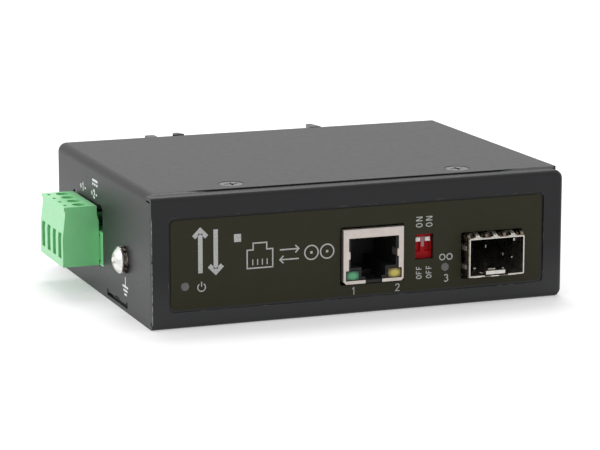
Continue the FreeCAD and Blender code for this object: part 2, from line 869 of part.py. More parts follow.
def make_rj45_contacts():
    # Spring wires anchored in the cavity's roof and folded back down to meet the plug
    roof = jack_bottom + plug_cavity_lift + plug_cavity_height
    first = jack_x - (contact_count - 1) * contact_pitch / 2
    start = jack_face + contact_start
    end = jack_face + jack_sheet + plug_cavity_depth
    tip_y = jack_face + contact_reach
    tip_z = jack_bottom + contact_tip
    outline = [(end, roof - contact_wire), (end, roof), (start, roof),
               (start - contact_wire, roof - contact_wire), (start, roof - 2 * contact_wire), (tip_y, tip_z),
               (tip_y + contact_wire / 2, tip_z + contact_wire), (start + contact_wire, roof - contact_wire)]
    wires = []
    for i in range(contact_count):
        x = first + i * contact_pitch
        wires.append(side_section(outline, x - contact_wire / 2, x + contact_wire / 2))
    return Part.Compound(wires)


def make_jack_lamp(side):
    y0 = jack_face + lamp_sink
    lamp = lamp_box(side, 0, y0, y0 + lamp_length)
    return fillet_where(lamp, lamp_edge, lambda e: e.BoundBox.YMax < y0 + tol)


# Fibre module cage
def make_sfp_cage():
    half = cage_width / 2
    end = cage_face + cage_length
    shell = block(cage_x - half, cage_x + half, cage_face, end, cage_bottom, cage_top)
    shell = fillet_where(shell, cage_corner, lambda e: runs_along(e, "y"))
    shell = shell.cut(block(cage_x - half + cage_sheet, cage_x + half - cage_sheet, cage_face - sheet,
                            end - cage_sheet, cage_bottom + cage_sheet, cage_top - cage_sheet))
    gap = tongue_width / 2 + tongue_slit
    cuts = [block(cage_x - gap, cage_x + gap, cage_face - sheet, cage_face + tongue_length,
                  cage_bottom - sheet, cage_bottom + cage_sheet)]
    cuts.append(block(cage_x - host_width / 2 - fit_gap, cage_x + host_width / 2 + fit_gap,
                      end - cage_sheet - host_depth - 2 * fit_gap, end - cage_sheet,
                      cage_bottom - sheet, cage_bottom + cage_sheet))
    for i in range(vent_rows):
        for j in range(vent_columns):
            x = cage_x + (j - (vent_columns - 1) / 2) * vent_pitch
            y = front + housing_depth / 4 + i * vent_pitch
            cuts.append(rod(vent_radius, V(x, y, cage_top - sheet), AXIS_Z, 2 * sheet))
    shell = shell.cut(cuts[0].multiFuse(cuts[1:]))
    root = cage_face + tongue_length + overlap
    lip_y = cage_face + tongue_setback
    low = cage_bottom + tongue_rise
    outline = [(lip_y, low), (lip_y, low + tongue_lip), (lip_y + cage_sheet, low + tongue_lip),
               (lip_y + cage_sheet, low + cage_sheet), (root, cage_bottom + cage_sheet), (root, cage_bottom)]
    pieces = [shell, side_section(outline, cage_x - tongue_width / 2, cage_x + tongue_width / 2)]
    for x, y in cage_tail_places():
        pieces.append(centred_block(x, y, board_bottom - sheet / 2, cage_sheet, board_tail,
                                    cage_bottom + sheet - board_bottom + sheet / 2))
    return joined(pieces)


def spring_finger(crest, width, end):
    # Bowed leaf along Y that rises from z = 0 to its crest and falls back
    inner = Part.Arc(V(0, 0, 0), V(0, end / 2, crest - collar_sheet), V(0, end, 0)).toShape()
    outer = Part.Arc(V(0, end, collar_sheet), V(0, end / 2, crest), V(0, 0, collar_sheet)).toShape()
    ends = [Part.makeLine(V(0, end, 0), V(0, end, collar_sheet)),
            Part.makeLine(V(0, 0, collar_sheet), V(0, 0, 0))]
    face = Part.Face(Part.Wire([inner, ends[0], outer, ends[1]]))
    leaf = face.extrude(V(width, 0, 0))
    leaf.translate(V(-width / 2, 0, 0))
    return leaf


def make_sfp_spring_collar():
    # Band round the cage's mouth with bowed leaves that touch the cut-out: three long leaves
    # above and below, short ones beside them, two at each side
    half = cage_width / 2
    y0 = cage_face + collar_setback
    y1 = y0 + collar_width
    outer = block(cage_x - half - collar_sheet, cage_x + half + collar_sheet, y0, y1,
                  cage_bottom - collar_sheet, cage_top + collar_sheet)
    outer = fillet_where(outer, cage_corner + collar_sheet, lambda e: runs_along(e, "y"))
    inner = block(cage_x - half, cage_x + half, y0 - sheet, y1 + sheet, cage_bottom, cage_top)
    inner = fillet_where(inner, cage_corner, lambda e: runs_along(e, "y"))
    pieces = [outer.cut(inner)]
    start = y1 - collar_width / 2
    over = cage_over_gap - finger_gap
    under = cage_under_gap - finger_gap
    leaves = [(step, finger_width, finger_length) for step in (-1, 0, 1)]
    leaves += [(step, short_finger_width, short_finger_length) for step in (-1.5, -0.5, 0.5, 1.5)]
    for step, width, length in leaves:
        x = cage_x + step * finger_pitch
        pieces.append(put(spring_finger(over, width, length), V(x, start, cage_top)))
        pieces.append(put(spring_finger(under, width, length), V(x, start, cage_bottom), AXIS_Y, 180))
    leaf = spring_finger(cage_side_gap - finger_gap, finger_width, finger_length)
    for step in (-0.5, 0.5):
        z = (cage_top + cage_bottom) / 2 + step * finger_pitch
        pieces.append(put(leaf, V(cage_x + half, start, z), AXIS_Y, 90))
        pieces.append(put(leaf, V(cage_x - half, start, z), AXIS_Y, -90))
    return joined(pieces)


def make_sfp_connector():
    end = cage_face + cage_length - cage_sheet - fit_gap
    y0 = end - host_depth
    body = block(cage_x - host_width / 2, cage_x + host_width / 2, y0, end,
                 board_top, board_top + host_height)
    slot_z = board_top + host_slot_lift
    slot = block(cage_x - host_slot_width / 2, cage_x + host_slot_width / 2, y0 - sheet,
                 y0 + host_slot_depth, slot_z, slot_z + host_slot_height)
    body = body.cut(slot)
    return fillet_where(body, host_edge, lambda e: runs_along(e, "z") and middle(e).y < y0 + tol
                        and e.BoundBox.ZLength > host_height / 2)


# Slide switches
def slider_places():
    return [switch_x - switch_pitch / 2, switch_x + switch_pitch / 2]


def make_switch_body():
    body = block(switch_x - switch_body_width / 2, switch_x + switch_body_width / 2, switch_face,
                 switch_face + switch_body_depth, board_top, switch_body_top)
    body = fillet_where(body, switch_edge, lambda e: middle(e).z > switch_body_top - tol)
    half = slider_width / 2 + slider_gap
    low = slider_top - slider_height - slider_travel
    for x in slider_places():
        body = body.cut(block(x - half, x + half, switch_face - sheet, switch_face + slider_depth,
                              low - slider_gap, slider_top + slider_gap))
    return body


def make_slider(x):
    knob = block(x - slider_width / 2, x + slider_width / 2, switch_face - slider_proud,
                 switch_face + slider_depth - slider_gap, slider_top - slider_height, slider_top)
    return knob.makeChamfer(slider_edge, [e for e in knob.Edges
                                          if e.BoundBox.YMax < switch_face - slider_proud + tol])


# Indicator lamps
def make_light_pipe(x, z):
    # Clear rod behind the label, turned down to the lamp on the board
    elbow_y = label_face + pipe_length
    reach = rod(pipe_radius, V(x, label_face, z), AXIS_Y, pipe_length)
    foot_z = board_top + lamp_chip_height + pipe_gap
    drop = rod(pipe_radius, V(x, elbow_y, foot_z), AXIS_Z, z - foot_z)
    knee = Part.makeSphere(pipe_radius, V(x, elbow_y, z))
    return joined([reach, drop, knee])


def make_indicator_lamps():
    y = label_face + pipe_length
    chips = [centred_block(x, y, board_top, lamp_chip_length, lamp_chip, lamp_chip_height)
             for x in (power_lamp_x, link_lamp_x)]
    return Part.Compound(chips)


# Power terminal
def make_terminal_header():
    half = header_width / 2
    end = header_mouth + header_length
    body = block(header_mouth, end, terminal_y - half, terminal_y + half, board_top, header_top)
    cavity_half = half - header_end_wall
    body = body.cut(block(header_mouth - sheet, end - header_back_wall, terminal_y - cavity_half,
                          terminal_y + cavity_half, board_top + header_wall, header_top - header_wall))
    for y in pole_places():
        body = body.cut(block(end - header_back_wall - sheet, end + sheet, y - pin_size / 2 - fit_gap,
                              y + pin_size / 2 + fit_gap, pin_z - pin_size / 2 - fit_gap,
                              pin_z + pin_size / 2 + fit_gap))
        body = body.cut(block(header_mouth - sheet, header_mouth + header_length / 3,
                              y - key_slot_width / 2, y + key_slot_width / 2,
                              header_top - header_wall - overlap, header_top + sheet))
    return body


def make_header_pins():
    end = header_mouth + header_length
    pins = []
    for y in pole_places():
        reach = block(end - pin_reach, end + pin_size, y - pin_size / 2, y + pin_size / 2,
                      pin_z - pin_size / 2, pin_z + pin_size / 2)
        tail = block(end, end + pin_size, y - pin_size / 2, y + pin_size / 2,
                     board_bottom - pin_tail / 2, pin_z)
        pins.append(joined([reach, tail]))
    return Part.Compound(pins)


def make_terminal_plug():
    # Moulded plug: leaning outer face under a narrow brim, inner face that slants away from the
    # wall at the top, and a tongue that fills the header
    half = plug_width / 2
    upper_face = plug_face + plug_lean
    brim_face = upper_face - plug_brim
    brim_z = plug_top - plug_brim_height
    upper_back = plug_back - plug_step
    outline = [(plug_face, plug_bottom), (plug_back, plug_bottom), (plug_back, plug_step_from),
               (upper_back, plug_step_to), (upper_back, plug_top), (brim_face, plug_top), (brim_face, brim_z),
               (upper_face, brim_z - plug_brim), (upper_face, plug_lean_to), (plug_face, plug_lean_from)]
    body = front_section(outline, terminal_y - half, terminal_y + half)
    body = fillet_where(body, plug_edge, lambda e: runs_along(e, "y") and middle(e).z > plug_top - tol)
    tongue = block(plug_back - sheet, plug_back + tongue_depth, terminal_y - half, terminal_y + half,
                   board_top + header_wall + tongue_gap, header_top - header_wall - tongue_gap)
    body = joined([body, tongue])
    entry_half = entry_width / 2
    cavity_half = clamp_width / 2 + clamp_gap
    clamp_x0 = screw_axis - clamp_length / 2 - clamp_play
    clamp_x1 = screw_axis + clamp_length / 2 + 2 * clamp_gap
    cavity_top = clamp_bottom + clamp_height + clamp_travel + 2 * clamp_gap
    cuts = []
    for y in pole_places():
        cuts.append(block(plug_face - sheet, clamp_x1, y - entry_half, y + entry_half,
                          entry_bottom, entry_top))
        cuts.append(block(clamp_x0, clamp_x1, y - cavity_half, y + cavity_half,
                          clamp_bottom - clamp_gap, cavity_top))
        cuts.append(block(clamp_x1 - sheet, plug_back + tongue_depth + sheet,
                          y - bar_width / 2 - clamp_gap, y + bar_width / 2 + clamp_gap,
                          pin_z - socket_size / 2 - clamp_gap, bar_z + bar_thickness + clamp_gap))
        cuts.append(rod(terminal_screw_shank + 2 * clamp_gap, V(screw_axis, y, entry_top), AXIS_Z,
                        well_floor - entry_top + sheet))
        cuts.append(rod(screw_well_radius, V(screw_axis, y, well_floor), AXIS_Z, plug_top))
        slot_x = upper_face + key_slot_in
        cuts.append(block(slot_x, slot_x + key_slot_length, y - key_slot_width / 2, y + key_slot_width / 2,
                          plug_top - key_slot_depth, plug_top + sheet))
    return body.cut(cuts[0].multiFuse(cuts[1:]))


def make_plug_contacts():
    # One bar for each pole: through the clamp, stepped down to a square socket for the pin
    contacts = []
    x0 = screw_axis - clamp_length / 2 + clamp_side
    neck = plug_back - 2 * fit_gap
    for y in pole_places():
        bar = block(x0, neck, y - bar_width / 2, y + bar_width / 2, bar_z, bar_z + bar_thickness)
        step = block(neck - bar_thickness, neck, y - bar_width / 2, y + bar_width / 2,
                     pin_z + socket_size / 2 - 2 * overlap, bar_z + bar_thickness)
        socket = block(neck - bar_thickness, neck + socket_length, y - socket_size / 2, y + socket_size / 2,
                       pin_z - socket_size / 2, pin_z + socket_size / 2)
        bore = block(neck, neck + socket_length + sheet, y - socket_bore / 2, y + socket_bore / 2,
                     pin_z - socket_bore / 2, pin_z + socket_bore / 2)
        contacts.append(joined([bar, step, socket]).cut(bore))
    return Part.Compound(contacts)


def make_terminal_screw(y):
    head_z = well_floor + clamp_gap / 2
    head = rod(terminal_screw_head, V(screw_axis, y, head_z), AXIS_Z, terminal_screw_head_height)
    head = fillet_where(head, terminal_screw_edge,
                        lambda e: e.BoundBox.ZMin > head_z + tol and e.BoundBox.ZLength < tol)
    shank = rod(terminal_screw_shank, V(screw_axis, y, terminal_screw_tip), AXIS_Z,
                head_z - terminal_screw_tip + overlap)
    slot_z = head_z + terminal_screw_head_height - terminal_screw_slot_depth
    slot = centred_block(screw_axis, y, slot_z, 2.5 * terminal_screw_head, terminal_screw_slot,
                         terminal_screw_head_height)
    return joined([head, shank]).cut(slot)


def make_wire_clamp(y):
    # Rising cage: the screw draws it up and presses the wire to the bar
    cage = centred_block(screw_axis, y, clamp_bottom, clamp_length, clamp_width, clamp_height)
    cage = fillet_where(cage, clamp_edge, lambda e: runs_along(e, "x"))
    window = centred_block(screw_axis, y, clamp_bottom + clamp_floor, 2 * clamp_length,
                           clamp_width - 2 * clamp_side, clamp_height - clamp_floor - clamp_roof)
    hole = rod(terminal_screw_shank + clamp_gap, V(screw_axis, y, clamp_bottom + clamp_height / 2), AXIS_Z,
               clamp_height)
    return cage.cut(window).cut(hole)


# Earth terminal
def make_earth_screw():
    screw = pan_screw(earth_head, earth_head_height, earth_shank, earth_screw_length, earth_crown)
    return put(screw, V(left - washer_stand, earth_y, earth_z), AXIS_Y, -90)


def make_lock_washer():
    # Toothed ring; each tooth is twisted out of the ring's plane
    middle_x = left - washer_stand / 2
    ring = rod(washer_ring, V(-washer_sheet / 2, 0, 0), AXIS_X, washer_sheet)
    pieces = [ring]
    tooth_width = 2 * math.pi * washer_ring / washer_teeth * tooth_share
    for i in range(washer_teeth):
        tooth = block(-washer_sheet / 2, washer_sheet / 2, -tooth_width / 2, tooth_width / 2,
                      washer_ring - tooth_root, washer_outer)
        tooth.rotate(V(0, 0, 0), AXIS_Z, tooth_twist)
        tooth.rotate(V(0, 0, 0), AXIS_X, 360 / washer_teeth * i)
        pieces.append(tooth)
    washer = joined(pieces).cut(rod(washer_inner, V(-sheet, 0, 0), AXIS_X, 2 * sheet))
    return put(washer, V(middle_x, earth_y, earth_z))


def make_earth_nut():
    inner_face = left + sheet
    flange = rod(nut_radius, V(inner_face, earth_y, earth_z), AXIS_X, nut_height)
    flange = flange.makeChamfer(nut_chamfer, [e for e in flange.Edges if e.BoundBox.XMin > inner_face + 1])
    spigot = rod(earth_hole - fit_gap, V(left + fit_gap, earth_y, earth_z), AXIS_X, sheet)
    bore = rod(nut_bore, V(left - sheet, earth_y, earth_z), AXIS_X, nut_height + 3 * sheet)
    return joined([flange, spigot]).cut(bore)


# Rail clip on the back
def clip_zone(height):
    return clip_middle_z - height / 2, clip_middle_z + height / 2


def hook_outline(side, out, lip):
    # Plan of one hook, from the rail plane outwards; the lip turns in over the rail's edge
    inner = side * rail_half
    outer = side * (rail_half + hook_base)
    crest = rail_plane + out
    crest_in = side * (rail_half + (hook_base - hook_crest) / 2)
    crest_out = side * (rail_half + (hook_base + hook_crest) / 2)
    base = rail_plane + slide_gap if side < 0 else rail_plane - hook_root
    points = [(inner, base)]
    if lip:
        lip_y = rail_plane + rail_lip + rail_lip_gap
        tip = side * (rail_half - hook_lip)
        points += [(inner, lip_y), (tip, lip_y), (tip, lip_y + hook_lip_tip),
                   (inner, lip_y + hook_lip_thickness)]
    return points + [(crest_in, crest), (crest_out, crest), (outer, base)]


def make_rail_clip():
    low, high = clip_zone(clip_plate_height)
    clip_right = rail_half + hook_base
    plate = block(clip_left, clip_right, back, rail_plane, low, high)
    plate = fillet_where(plate, clip_corner, lambda e: runs_along(e, "y"))
    hook_low, hook_high = clip_zone(clip_hook_height)
    lip_low, lip_high = clip_zone(hook_lip_height)
    hook = plan_section(hook_outline(1, fixed_hook_out, False), hook_low, hook_high)
    lip = plan_section(hook_outline(1, fixed_hook_out, True), lip_low, lip_high)
    body = joined([plate, hook, lip])
    channel_low, channel_high = clip_zone(channel_height)
    channel_end = latch_end + slide_end_gap
    cuts = [block(clip_left - sheet, channel_end, back + channel_floor, rail_plane - channel_roof,
                  channel_low, channel_high)]
    neck_low, neck_high = clip_zone(latch_neck_height + 2 * slide_gap)
    cuts.append(block(clip_left - sheet, -rail_half + slide_gap, rail_plane - channel_roof - overlap,
                      rail_plane + sheet, neck_low, neck_high))
    spring_low, spring_high = clip_zone(spring_window_height)
    cuts.append(block(latch_end - spring_window_length - sheet, channel_end,
                      rail_plane - channel_roof - overlap, rail_plane + sheet, spring_low, spring_high))
    for x, z in clip_screw_places():
        cuts.append(rod(screw3_hole, V(x, back - sheet, z), AXIS_Y, clip_thickness + 2 * sheet))
        cuts.append(put(countersink(screw3_flat_head + countersink_gap, screw3_flat_head - screw3_shank),
                        V(x, rail_plane, z), AXIS_X, -90))
    body = body.cut(cuts[0].multiFuse(cuts[1:]))
    post_x = latch_end - spring_window_length + sheet - spring_post
    post_low, post_high = clip_zone(spring_height)
    post = block(post_x - spring_post, post_x, back + channel_floor / 2, rail_plane - channel_roof,
                 post_low, post_high)
    return joined([body, post])


def make_rail_latch():
    # Slide with the second hook and a pull bar, sprung towards the rail
    slide_low, slide_high = clip_zone(channel_height - 2 * slide_gap)
    y0 = back + channel_floor + slide_gap
    y1 = rail_plane - channel_roof - slide_gap
    slide = block(latch_tab_left + slide_tail, latch_end, y0, y1, slide_low, slide_high)
    window_low, window_high = clip_zone(spring_window_height)
    window_x = latch_end - sheet - spring_window_length - latch_travel + sheet
    slide = slide.cut(block(window_x, latch_end - sheet, y0 - sheet, y1 + sheet, window_low, window_high))
    neck_low, neck_high = clip_zone(latch_neck_height)
    neck = block(-rail_half - hook_base, -rail_half, y1 - 2 * overlap, rail_plane + 2 * slide_gap,
                 neck_low, neck_high)
    hook_low, hook_high = clip_zone(clip_hook_height)
    lip_low, lip_high = clip_zone(hook_lip_height)
    hook = plan_section(hook_outline(-1, latch_hook_out, False), hook_low, hook_high)
    lip = plan_section(hook_outline(-1, latch_hook_out, True), lip_low, lip_high)
    tab = block(latch_tab_left, latch_tab_left + latch_tab_width, back + latch_tab_gap,
                rail_plane + latch_tab_out, hook_low, hook_high)
    tab = fillet_where(tab, latch_tab_edge, lambda e: runs_along(e, "z"))
    return joined([slide, neck, hook, lip, tab])


def make_latch_spring():
    # Folded leaf between the clip's post and the end of the latch's window
    post_x = latch_end - spring_window_length + sheet - spring_post
    pitch = (latch_end - sheet - post_x - 2 * fit_gap) / (spring_legs - 1 + spring_strip)
    low, high = clip_zone(spring_height)
    y0 = back + channel_floor + 2 * slide_gap
    y1 = rail_plane - channel_roof - 2 * slide_gap
    pieces = []
    for i in range(spring_legs):
        x = post_x + fit_gap + i * pitch
        pieces.append(block(x, x + spring_strip, y0, y1, low, high))
        if i < spring_legs - 1:
            y = y1 - spring_strip if i % 2 == 0 else y0
            pieces.append(block(x, x + pitch + spring_strip, y, y + spring_strip, low, high))
    return joined(pieces)


def make_clip_screws():
    screw = flat_screw(screw3_flat_head, screw3_shank, clip_screw_length)
    return Part.Compound([put(screw, V(x, rail_plane - screw_sunk, z), AXIS_X, -90)
                          for x, z in clip_screw_places()])


# Parts on the board
def make_converter_chip():
    half = chip_size / 2
    body = centred_block(chip_x, chip_y, board_top + chip_lift, chip_size, chip_size, chip_height)
    body = body.makeChamfer(chip_edge, [e for e in body.Edges if e.BoundBox.ZMin > board_top + chip_height])
    lead = block(half - chip_lead_root, half + chip_lead_reach, -chip_lead_width / 2, chip_lead_width / 2,
                 0, chip_lead_thickness)
    pieces = [body]
    for side in range(4):
        for i in range(chip_leads):
            offset = (i - (chip_leads - 1) / 2) * chip_lead_pitch
            leg = put(lead, V(0, offset, 0))
            leg.rotate(V(0, 0, 0), AXIS_Z, 90 * side)
            pieces.append(put(leg, V(chip_x, chip_y, board_top)))
    return joined(pieces)


def make_magnetics_module():
    body = centred_block(magnetics_x, magnetics_y, board_top, magnetics_length, magnetics_width,
                         magnetics_height)
    return fillet_where(body, magnetics_edge, lambda e: e.BoundBox.ZMin > board_top + tol)


def make_isolation_transformer():
    # Ferrite core round a moulded bobbin
    core = centred_block(transformer_x, transformer_y, board_top + transformer_lift, transformer_length,
                         transformer_bobbin, transformer_height - transformer_lift)
    core = fillet_where(core, transformer_edge, lambda e: runs_along(e, "z"))
    bobbin = centred_block(transformer_x, transformer_y, board_top, transformer_bobbin,
                           transformer_width, transformer_height - transformer_drop)
    return joined([core, bobbin])


def make_bulk_capacitors():
    # Cans with the rolled groove above their foot
    cans = []
    for y in (capacitor_y - capacitor_pitch / 2 - capacitor_pitch / 4, capacitor_y + capacitor_pitch / 4):
        can = rod(capacitor_radius, V(capacitor_x, y, board_top), AXIS_Z, capacitor_height)
        can = fillet_where(can, can_edge,
                           lambda e: e.BoundBox.ZMin > board_top + tol and e.BoundBox.ZLength < tol)
        bead = Part.makeTorus(capacitor_radius + can_groove / 2, can_groove,
                              V(capacitor_x, y, board_top + can_groove_z), AXIS_Z)
        cans.append(can.cut(bead))
    return Part.Compound(cans)


def make_power_inductor():
    body = centred_block(inductor_x, inductor_y, board_top, inductor_size, inductor_size, inductor_height)
    body = fillet_where(body, inductor_corner, lambda e: runs_along(e, "z"))
    dish_z = board_top + inductor_height - inductor_dish_depth
    dish = rod(inductor_dish, V(inductor_x, inductor_y, dish_z), AXIS_Z, sheet)
    return body.cut(dish)


def make_crystal():
    can = centred_block(crystal_x, crystal_y, board_top, crystal_length, crystal_width, crystal_height)
    can = fillet_where(can, crystal_width / 2 - fit_gap, lambda e: runs_along(e, "z"))
    rim_width = crystal_width + 2 * crystal_rim
    rim = centred_block(crystal_x, crystal_y, board_top, crystal_length + 2 * crystal_rim, rim_width,
                        crystal_rim_height)
    rim = fillet_where(rim, rim_width / 2 - fit_gap, lambda e: runs_along(e, "z"))
    return joined([can, rim])


def make_input_fuse():
    z = board_top + fuse_radius
    x0 = fuse_x - fuse_length / 2
    tube = rod(fuse_radius - fuse_cap_sheet, V(x0, fuse_y, z), AXIS_X, fuse_length)
    caps = [rod(fuse_radius, V(x, fuse_y, z), AXIS_X, fuse_cap)
            for x in (x0, x0 + fuse_length - fuse_cap)]
    return joined([tube] + caps)


pieces = {
    "chassis": make_chassis(),
    "cover": make_cover(),
    "front_label": make_front_label(),
    "cover_screws": make_cover_screws(),
    "back_screw": make_back_screw(),
    "circuit_board": make_circuit_board(),
    "board_standoffs": make_board_standoffs(),
    "board_screws": make_board_screws(),
    "rj45_shield": make_rj45_shield(),
    "rj45_housing": make_rj45_housing(),
    "rj45_contacts": make_rj45_contacts(),
    "jack_lamp_left": make_jack_lamp(-1),
    "jack_lamp_right": make_jack_lamp(1),
    "sfp_cage": make_sfp_cage(),
    "sfp_spring_collar": make_sfp_spring_collar(),
    "sfp_connector": make_sfp_connector(),
    "switch_body": make_switch_body(),
    "power_light_pipe": make_light_pipe(power_lamp_x, power_lamp_z),
    "link_light_pipe": make_light_pipe(link_lamp_x, link_lamp_z),
    "indicator_lamps": make_indicator_lamps(),
    "terminal_header": make_terminal_header(),
    "header_pins": make_header_pins(),
    "terminal_plug": make_terminal_plug(),
    "plug_contacts": make_plug_contacts(),
    "earth_screw": make_earth_screw(),
    "lock_washer": make_lock_washer(),
    "earth_nut": make_earth_nut(),
    "rail_clip": make_rail_clip(),
    "rail_latch": make_rail_latch(),
    "latch_spring": make_latch_spring(),
    "clip_screws": make_clip_screws(),
    "converter_chip": make_converter_chip(),
    "magnetics_module": make_magnetics_module(),
    "isolation_transformer": make_isolation_transformer(),
    "bulk_capacitors": make_bulk_capacitors(),
    "power_inductor": make_power_inductor(),
    "crystal": make_crystal(),
    "input_fuse": make_input_fuse(),
}
for number, x in enumerate(slider_places(), 1):
    pieces[f"switch_slider_{number}"] = make_slider(x)
for number, y in enumerate(pole_places(), 1):
    pieces[f"terminal_screw_{number}"] = make_terminal_screw(y)
    pieces[f"wire_clamp_{number}"] = make_wire_clamp(y)

os.makedirs("parts", exist_ok=True)
for name, shape in pieces.items():
    shape.exportStep(f"parts/{name}.step")
    print(name, len(shape.Solids), round(shape.Volume, 2), shape.isValid())
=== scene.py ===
# An industrial media converter lying flat: a folded black steel box with a copper port, a fibre
# module cage, two slide switches, a green plug-in power terminal and a rail clip on its back.
# Metres. X runs to the right along the front, Y to the back, Z up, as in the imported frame.
import math

import bmesh
import bpy
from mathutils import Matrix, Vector


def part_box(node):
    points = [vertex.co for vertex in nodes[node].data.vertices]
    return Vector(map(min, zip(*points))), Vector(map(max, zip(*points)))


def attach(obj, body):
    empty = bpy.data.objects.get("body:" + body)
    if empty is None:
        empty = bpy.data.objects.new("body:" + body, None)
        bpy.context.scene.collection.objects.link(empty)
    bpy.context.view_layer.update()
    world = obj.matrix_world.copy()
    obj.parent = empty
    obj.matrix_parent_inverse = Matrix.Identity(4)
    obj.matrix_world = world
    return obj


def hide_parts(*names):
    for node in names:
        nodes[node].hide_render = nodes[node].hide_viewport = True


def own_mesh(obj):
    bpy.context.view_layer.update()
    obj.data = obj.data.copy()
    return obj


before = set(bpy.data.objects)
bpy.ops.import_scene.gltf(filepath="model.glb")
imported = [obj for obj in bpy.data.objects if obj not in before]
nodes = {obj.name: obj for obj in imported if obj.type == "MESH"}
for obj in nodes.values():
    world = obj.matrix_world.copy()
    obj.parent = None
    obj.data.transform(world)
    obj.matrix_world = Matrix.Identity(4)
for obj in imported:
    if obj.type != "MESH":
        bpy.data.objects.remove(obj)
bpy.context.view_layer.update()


# Studio. The box lies on a white matt table that runs into a white background, under one wide
# lamp high behind it, a softer one on its left and the white room around it.
scene = bpy.context.scene
scene.view_settings.view_transform = "Standard"

table_size = 9.0
table_white = (0.74, 0.74, 0.75)
table_roughness = 0.9
table_glow = 0.295
room_light = 0.78
camera_place = (-0.2280, -0.6015, 0.1440)
camera_yaw, camera_pitch = 20.67, 11.42
sensor_width, focal_length = 36.0, 155.28


def solid_material(name, colour, roughness, metallic=0.0, **sockets):
    """One shader, with its steady values on its own sockets."""
    made = bpy.data.materials.new(name)
    made.use_nodes = True
    shader = made.node_tree.nodes["Principled BSDF"]
    shader.inputs["Base Color"].default_value = (*colour, 1)
    shader.inputs["Roughness"].default_value = roughness
    shader.inputs["Metallic"].default_value = metallic
    for socket, value in sockets.items():
        shader.inputs[socket.replace("_", " ")].default_value = value
    return made


def calculate(tree, operation, *values):
    """A step of arithmetic on the values, each of them a number or an output."""
    step = tree.nodes.new("ShaderNodeMath")
    step.operation = operation
    for place, value in enumerate(values):
        if isinstance(value, (int, float)):
            step.inputs[place].default_value = value
        else:
            tree.links.new(value, step.inputs[place])
    return step.outputs[0]


def rescale(tree, value, low, high, to_low=0.0, to_high=1.0, smooth=False):
    """The value carried from the span low to high over to the other span, and held in it."""
    span = tree.nodes.new("ShaderNodeMapRange")
    span.interpolation_type = "SMOOTHSTEP" if smooth else "LINEAR"
    span.inputs["From Min"].default_value = low
    span.inputs["From Max"].default_value = high
    span.inputs["To Min"].default_value = to_low
    span.inputs["To Max"].default_value = to_high
    tree.links.new(value, span.inputs["Value"])
    return span.outputs["Result"]


def seen_directly(tree):
    """1 for the rays that look at a surface, straight, in a reflection or through a lens."""
    path = tree.nodes.new("ShaderNodeLightPath")
    seen = path.outputs["Is Camera Ray"]
    for kind in ("Is Glossy Ray", "Is Transmission Ray"):
        seen = calculate(tree, "MAXIMUM", seen, path.outputs[kind])
    return seen


def make_table():
    half = table_size / 2
    corners = [(-half, -half, 0), (half, -half, 0), (half, half, 0), (-half, half, 0)]
    mesh = bpy.data.meshes.new("studio_table")
    mesh.from_pydata(corners, [], [(0, 1, 2, 3)])
    white = solid_material("table_white", table_white, table_roughness,
                           Specular_IOR_Level=0.0, Emission_Color=(1, 1, 1, 1))
    tree = white.node_tree
    tree.links.new(calculate(tree, "MULTIPLY", seen_directly(tree), table_glow),
                   tree.nodes["Principled BSDF"].inputs["Emission Strength"])
    mesh.materials.append(white)
    table = bpy.data.objects.new("studio_table", mesh)
    scene.collection.objects.link(table)


def make_room():
    room = bpy.data.worlds.new("white_room")
    room.use_nodes = True
    tree = room.node_tree
    background = tree.nodes["Background"]
    background.inputs["Color"].default_value = (1, 1, 1, 1)
    tree.links.new(rescale(tree, seen_directly(tree), 0, 1, room_light, 1),
                   background.inputs["Strength"])
    scene.world = room


def add_lamp(name, place, aim, size, power):
    light = bpy.data.lights.new(name, "AREA")
    light.shape = "RECTANGLE"
    light.size, light.size_y = size
    light.energy = power
    lamp = bpy.data.objects.new(name, light)
    lamp.location = place
    lamp.rotation_euler = (Vector(aim) - Vector(place)).to_track_quat("-Z", "Y").to_euler()
    scene.collection.objects.link(lamp)


def add_camera():
    camera = bpy.data.cameras.new("camera")
    camera.sensor_width = sensor_width
    camera.lens = focal_length
    camera.clip_start = 0.01
    camera.clip_end = 30.0
    holder = bpy.data.objects.new("camera", camera)
    holder.location = camera_place
    holder.rotation_euler = (math.radians(90 - camera_pitch), 0, math.radians(-camera_yaw))
    scene.collection.objects.link(holder)
    scene.camera = holder


make_table()
make_room()
add_lamp("back_softbox", (0.17, 0.56, 1.15), (0, 0, 0.01), (0.6, 0.6), 8.0)
add_lamp("left_fill", (-1.30, 0.20, 0.60), (0, 0, 0.02), (1.0, 0.8), 5.0)
add_camera()


# Painted sheet steel: the chassis with the floor, the front, the back and the right wall, and the
# cover with the top and the left wall. Both are folded from 1 mm sheet and coated with satin black
# powder. Painted light on the coat: it is lighter toward the table, a painted reflection of the
# bright table, and carries painted highlights in patches along the folds and corners.
mm = 0.001
grain_low, grain_high = 0.3, 0.7
sheet_arris = 0.12 * mm
# Width and patches of the painted edge highlights.
highlight_width, patch_size, patch_edge = 0.15 * mm, 3 * mm, 0.2
still_flat, well_turned = 0.97, 0.80


def noise(material, size, detail=3.0, stretch=(1, 1, 1)):
    """Noise whose grains measure about size, laid in the part's own space."""
    tree = material.node_tree
    where = tree.nodes.new("ShaderNodeTexCoord")
    turn = tree.nodes.new("ShaderNodeMapping")
    turn.inputs["Scale"].default_value = stretch
    grain = tree.nodes.new("ShaderNodeTexNoise")
    grain.inputs["Scale"].default_value = 1 / size
    grain.inputs["Detail"].default_value = detail
    tree.links.new(where.outputs["Object"], turn.inputs["Vector"])
    tree.links.new(turn.outputs["Vector"], grain.inputs["Vector"])
    return grain.outputs["Fac"]


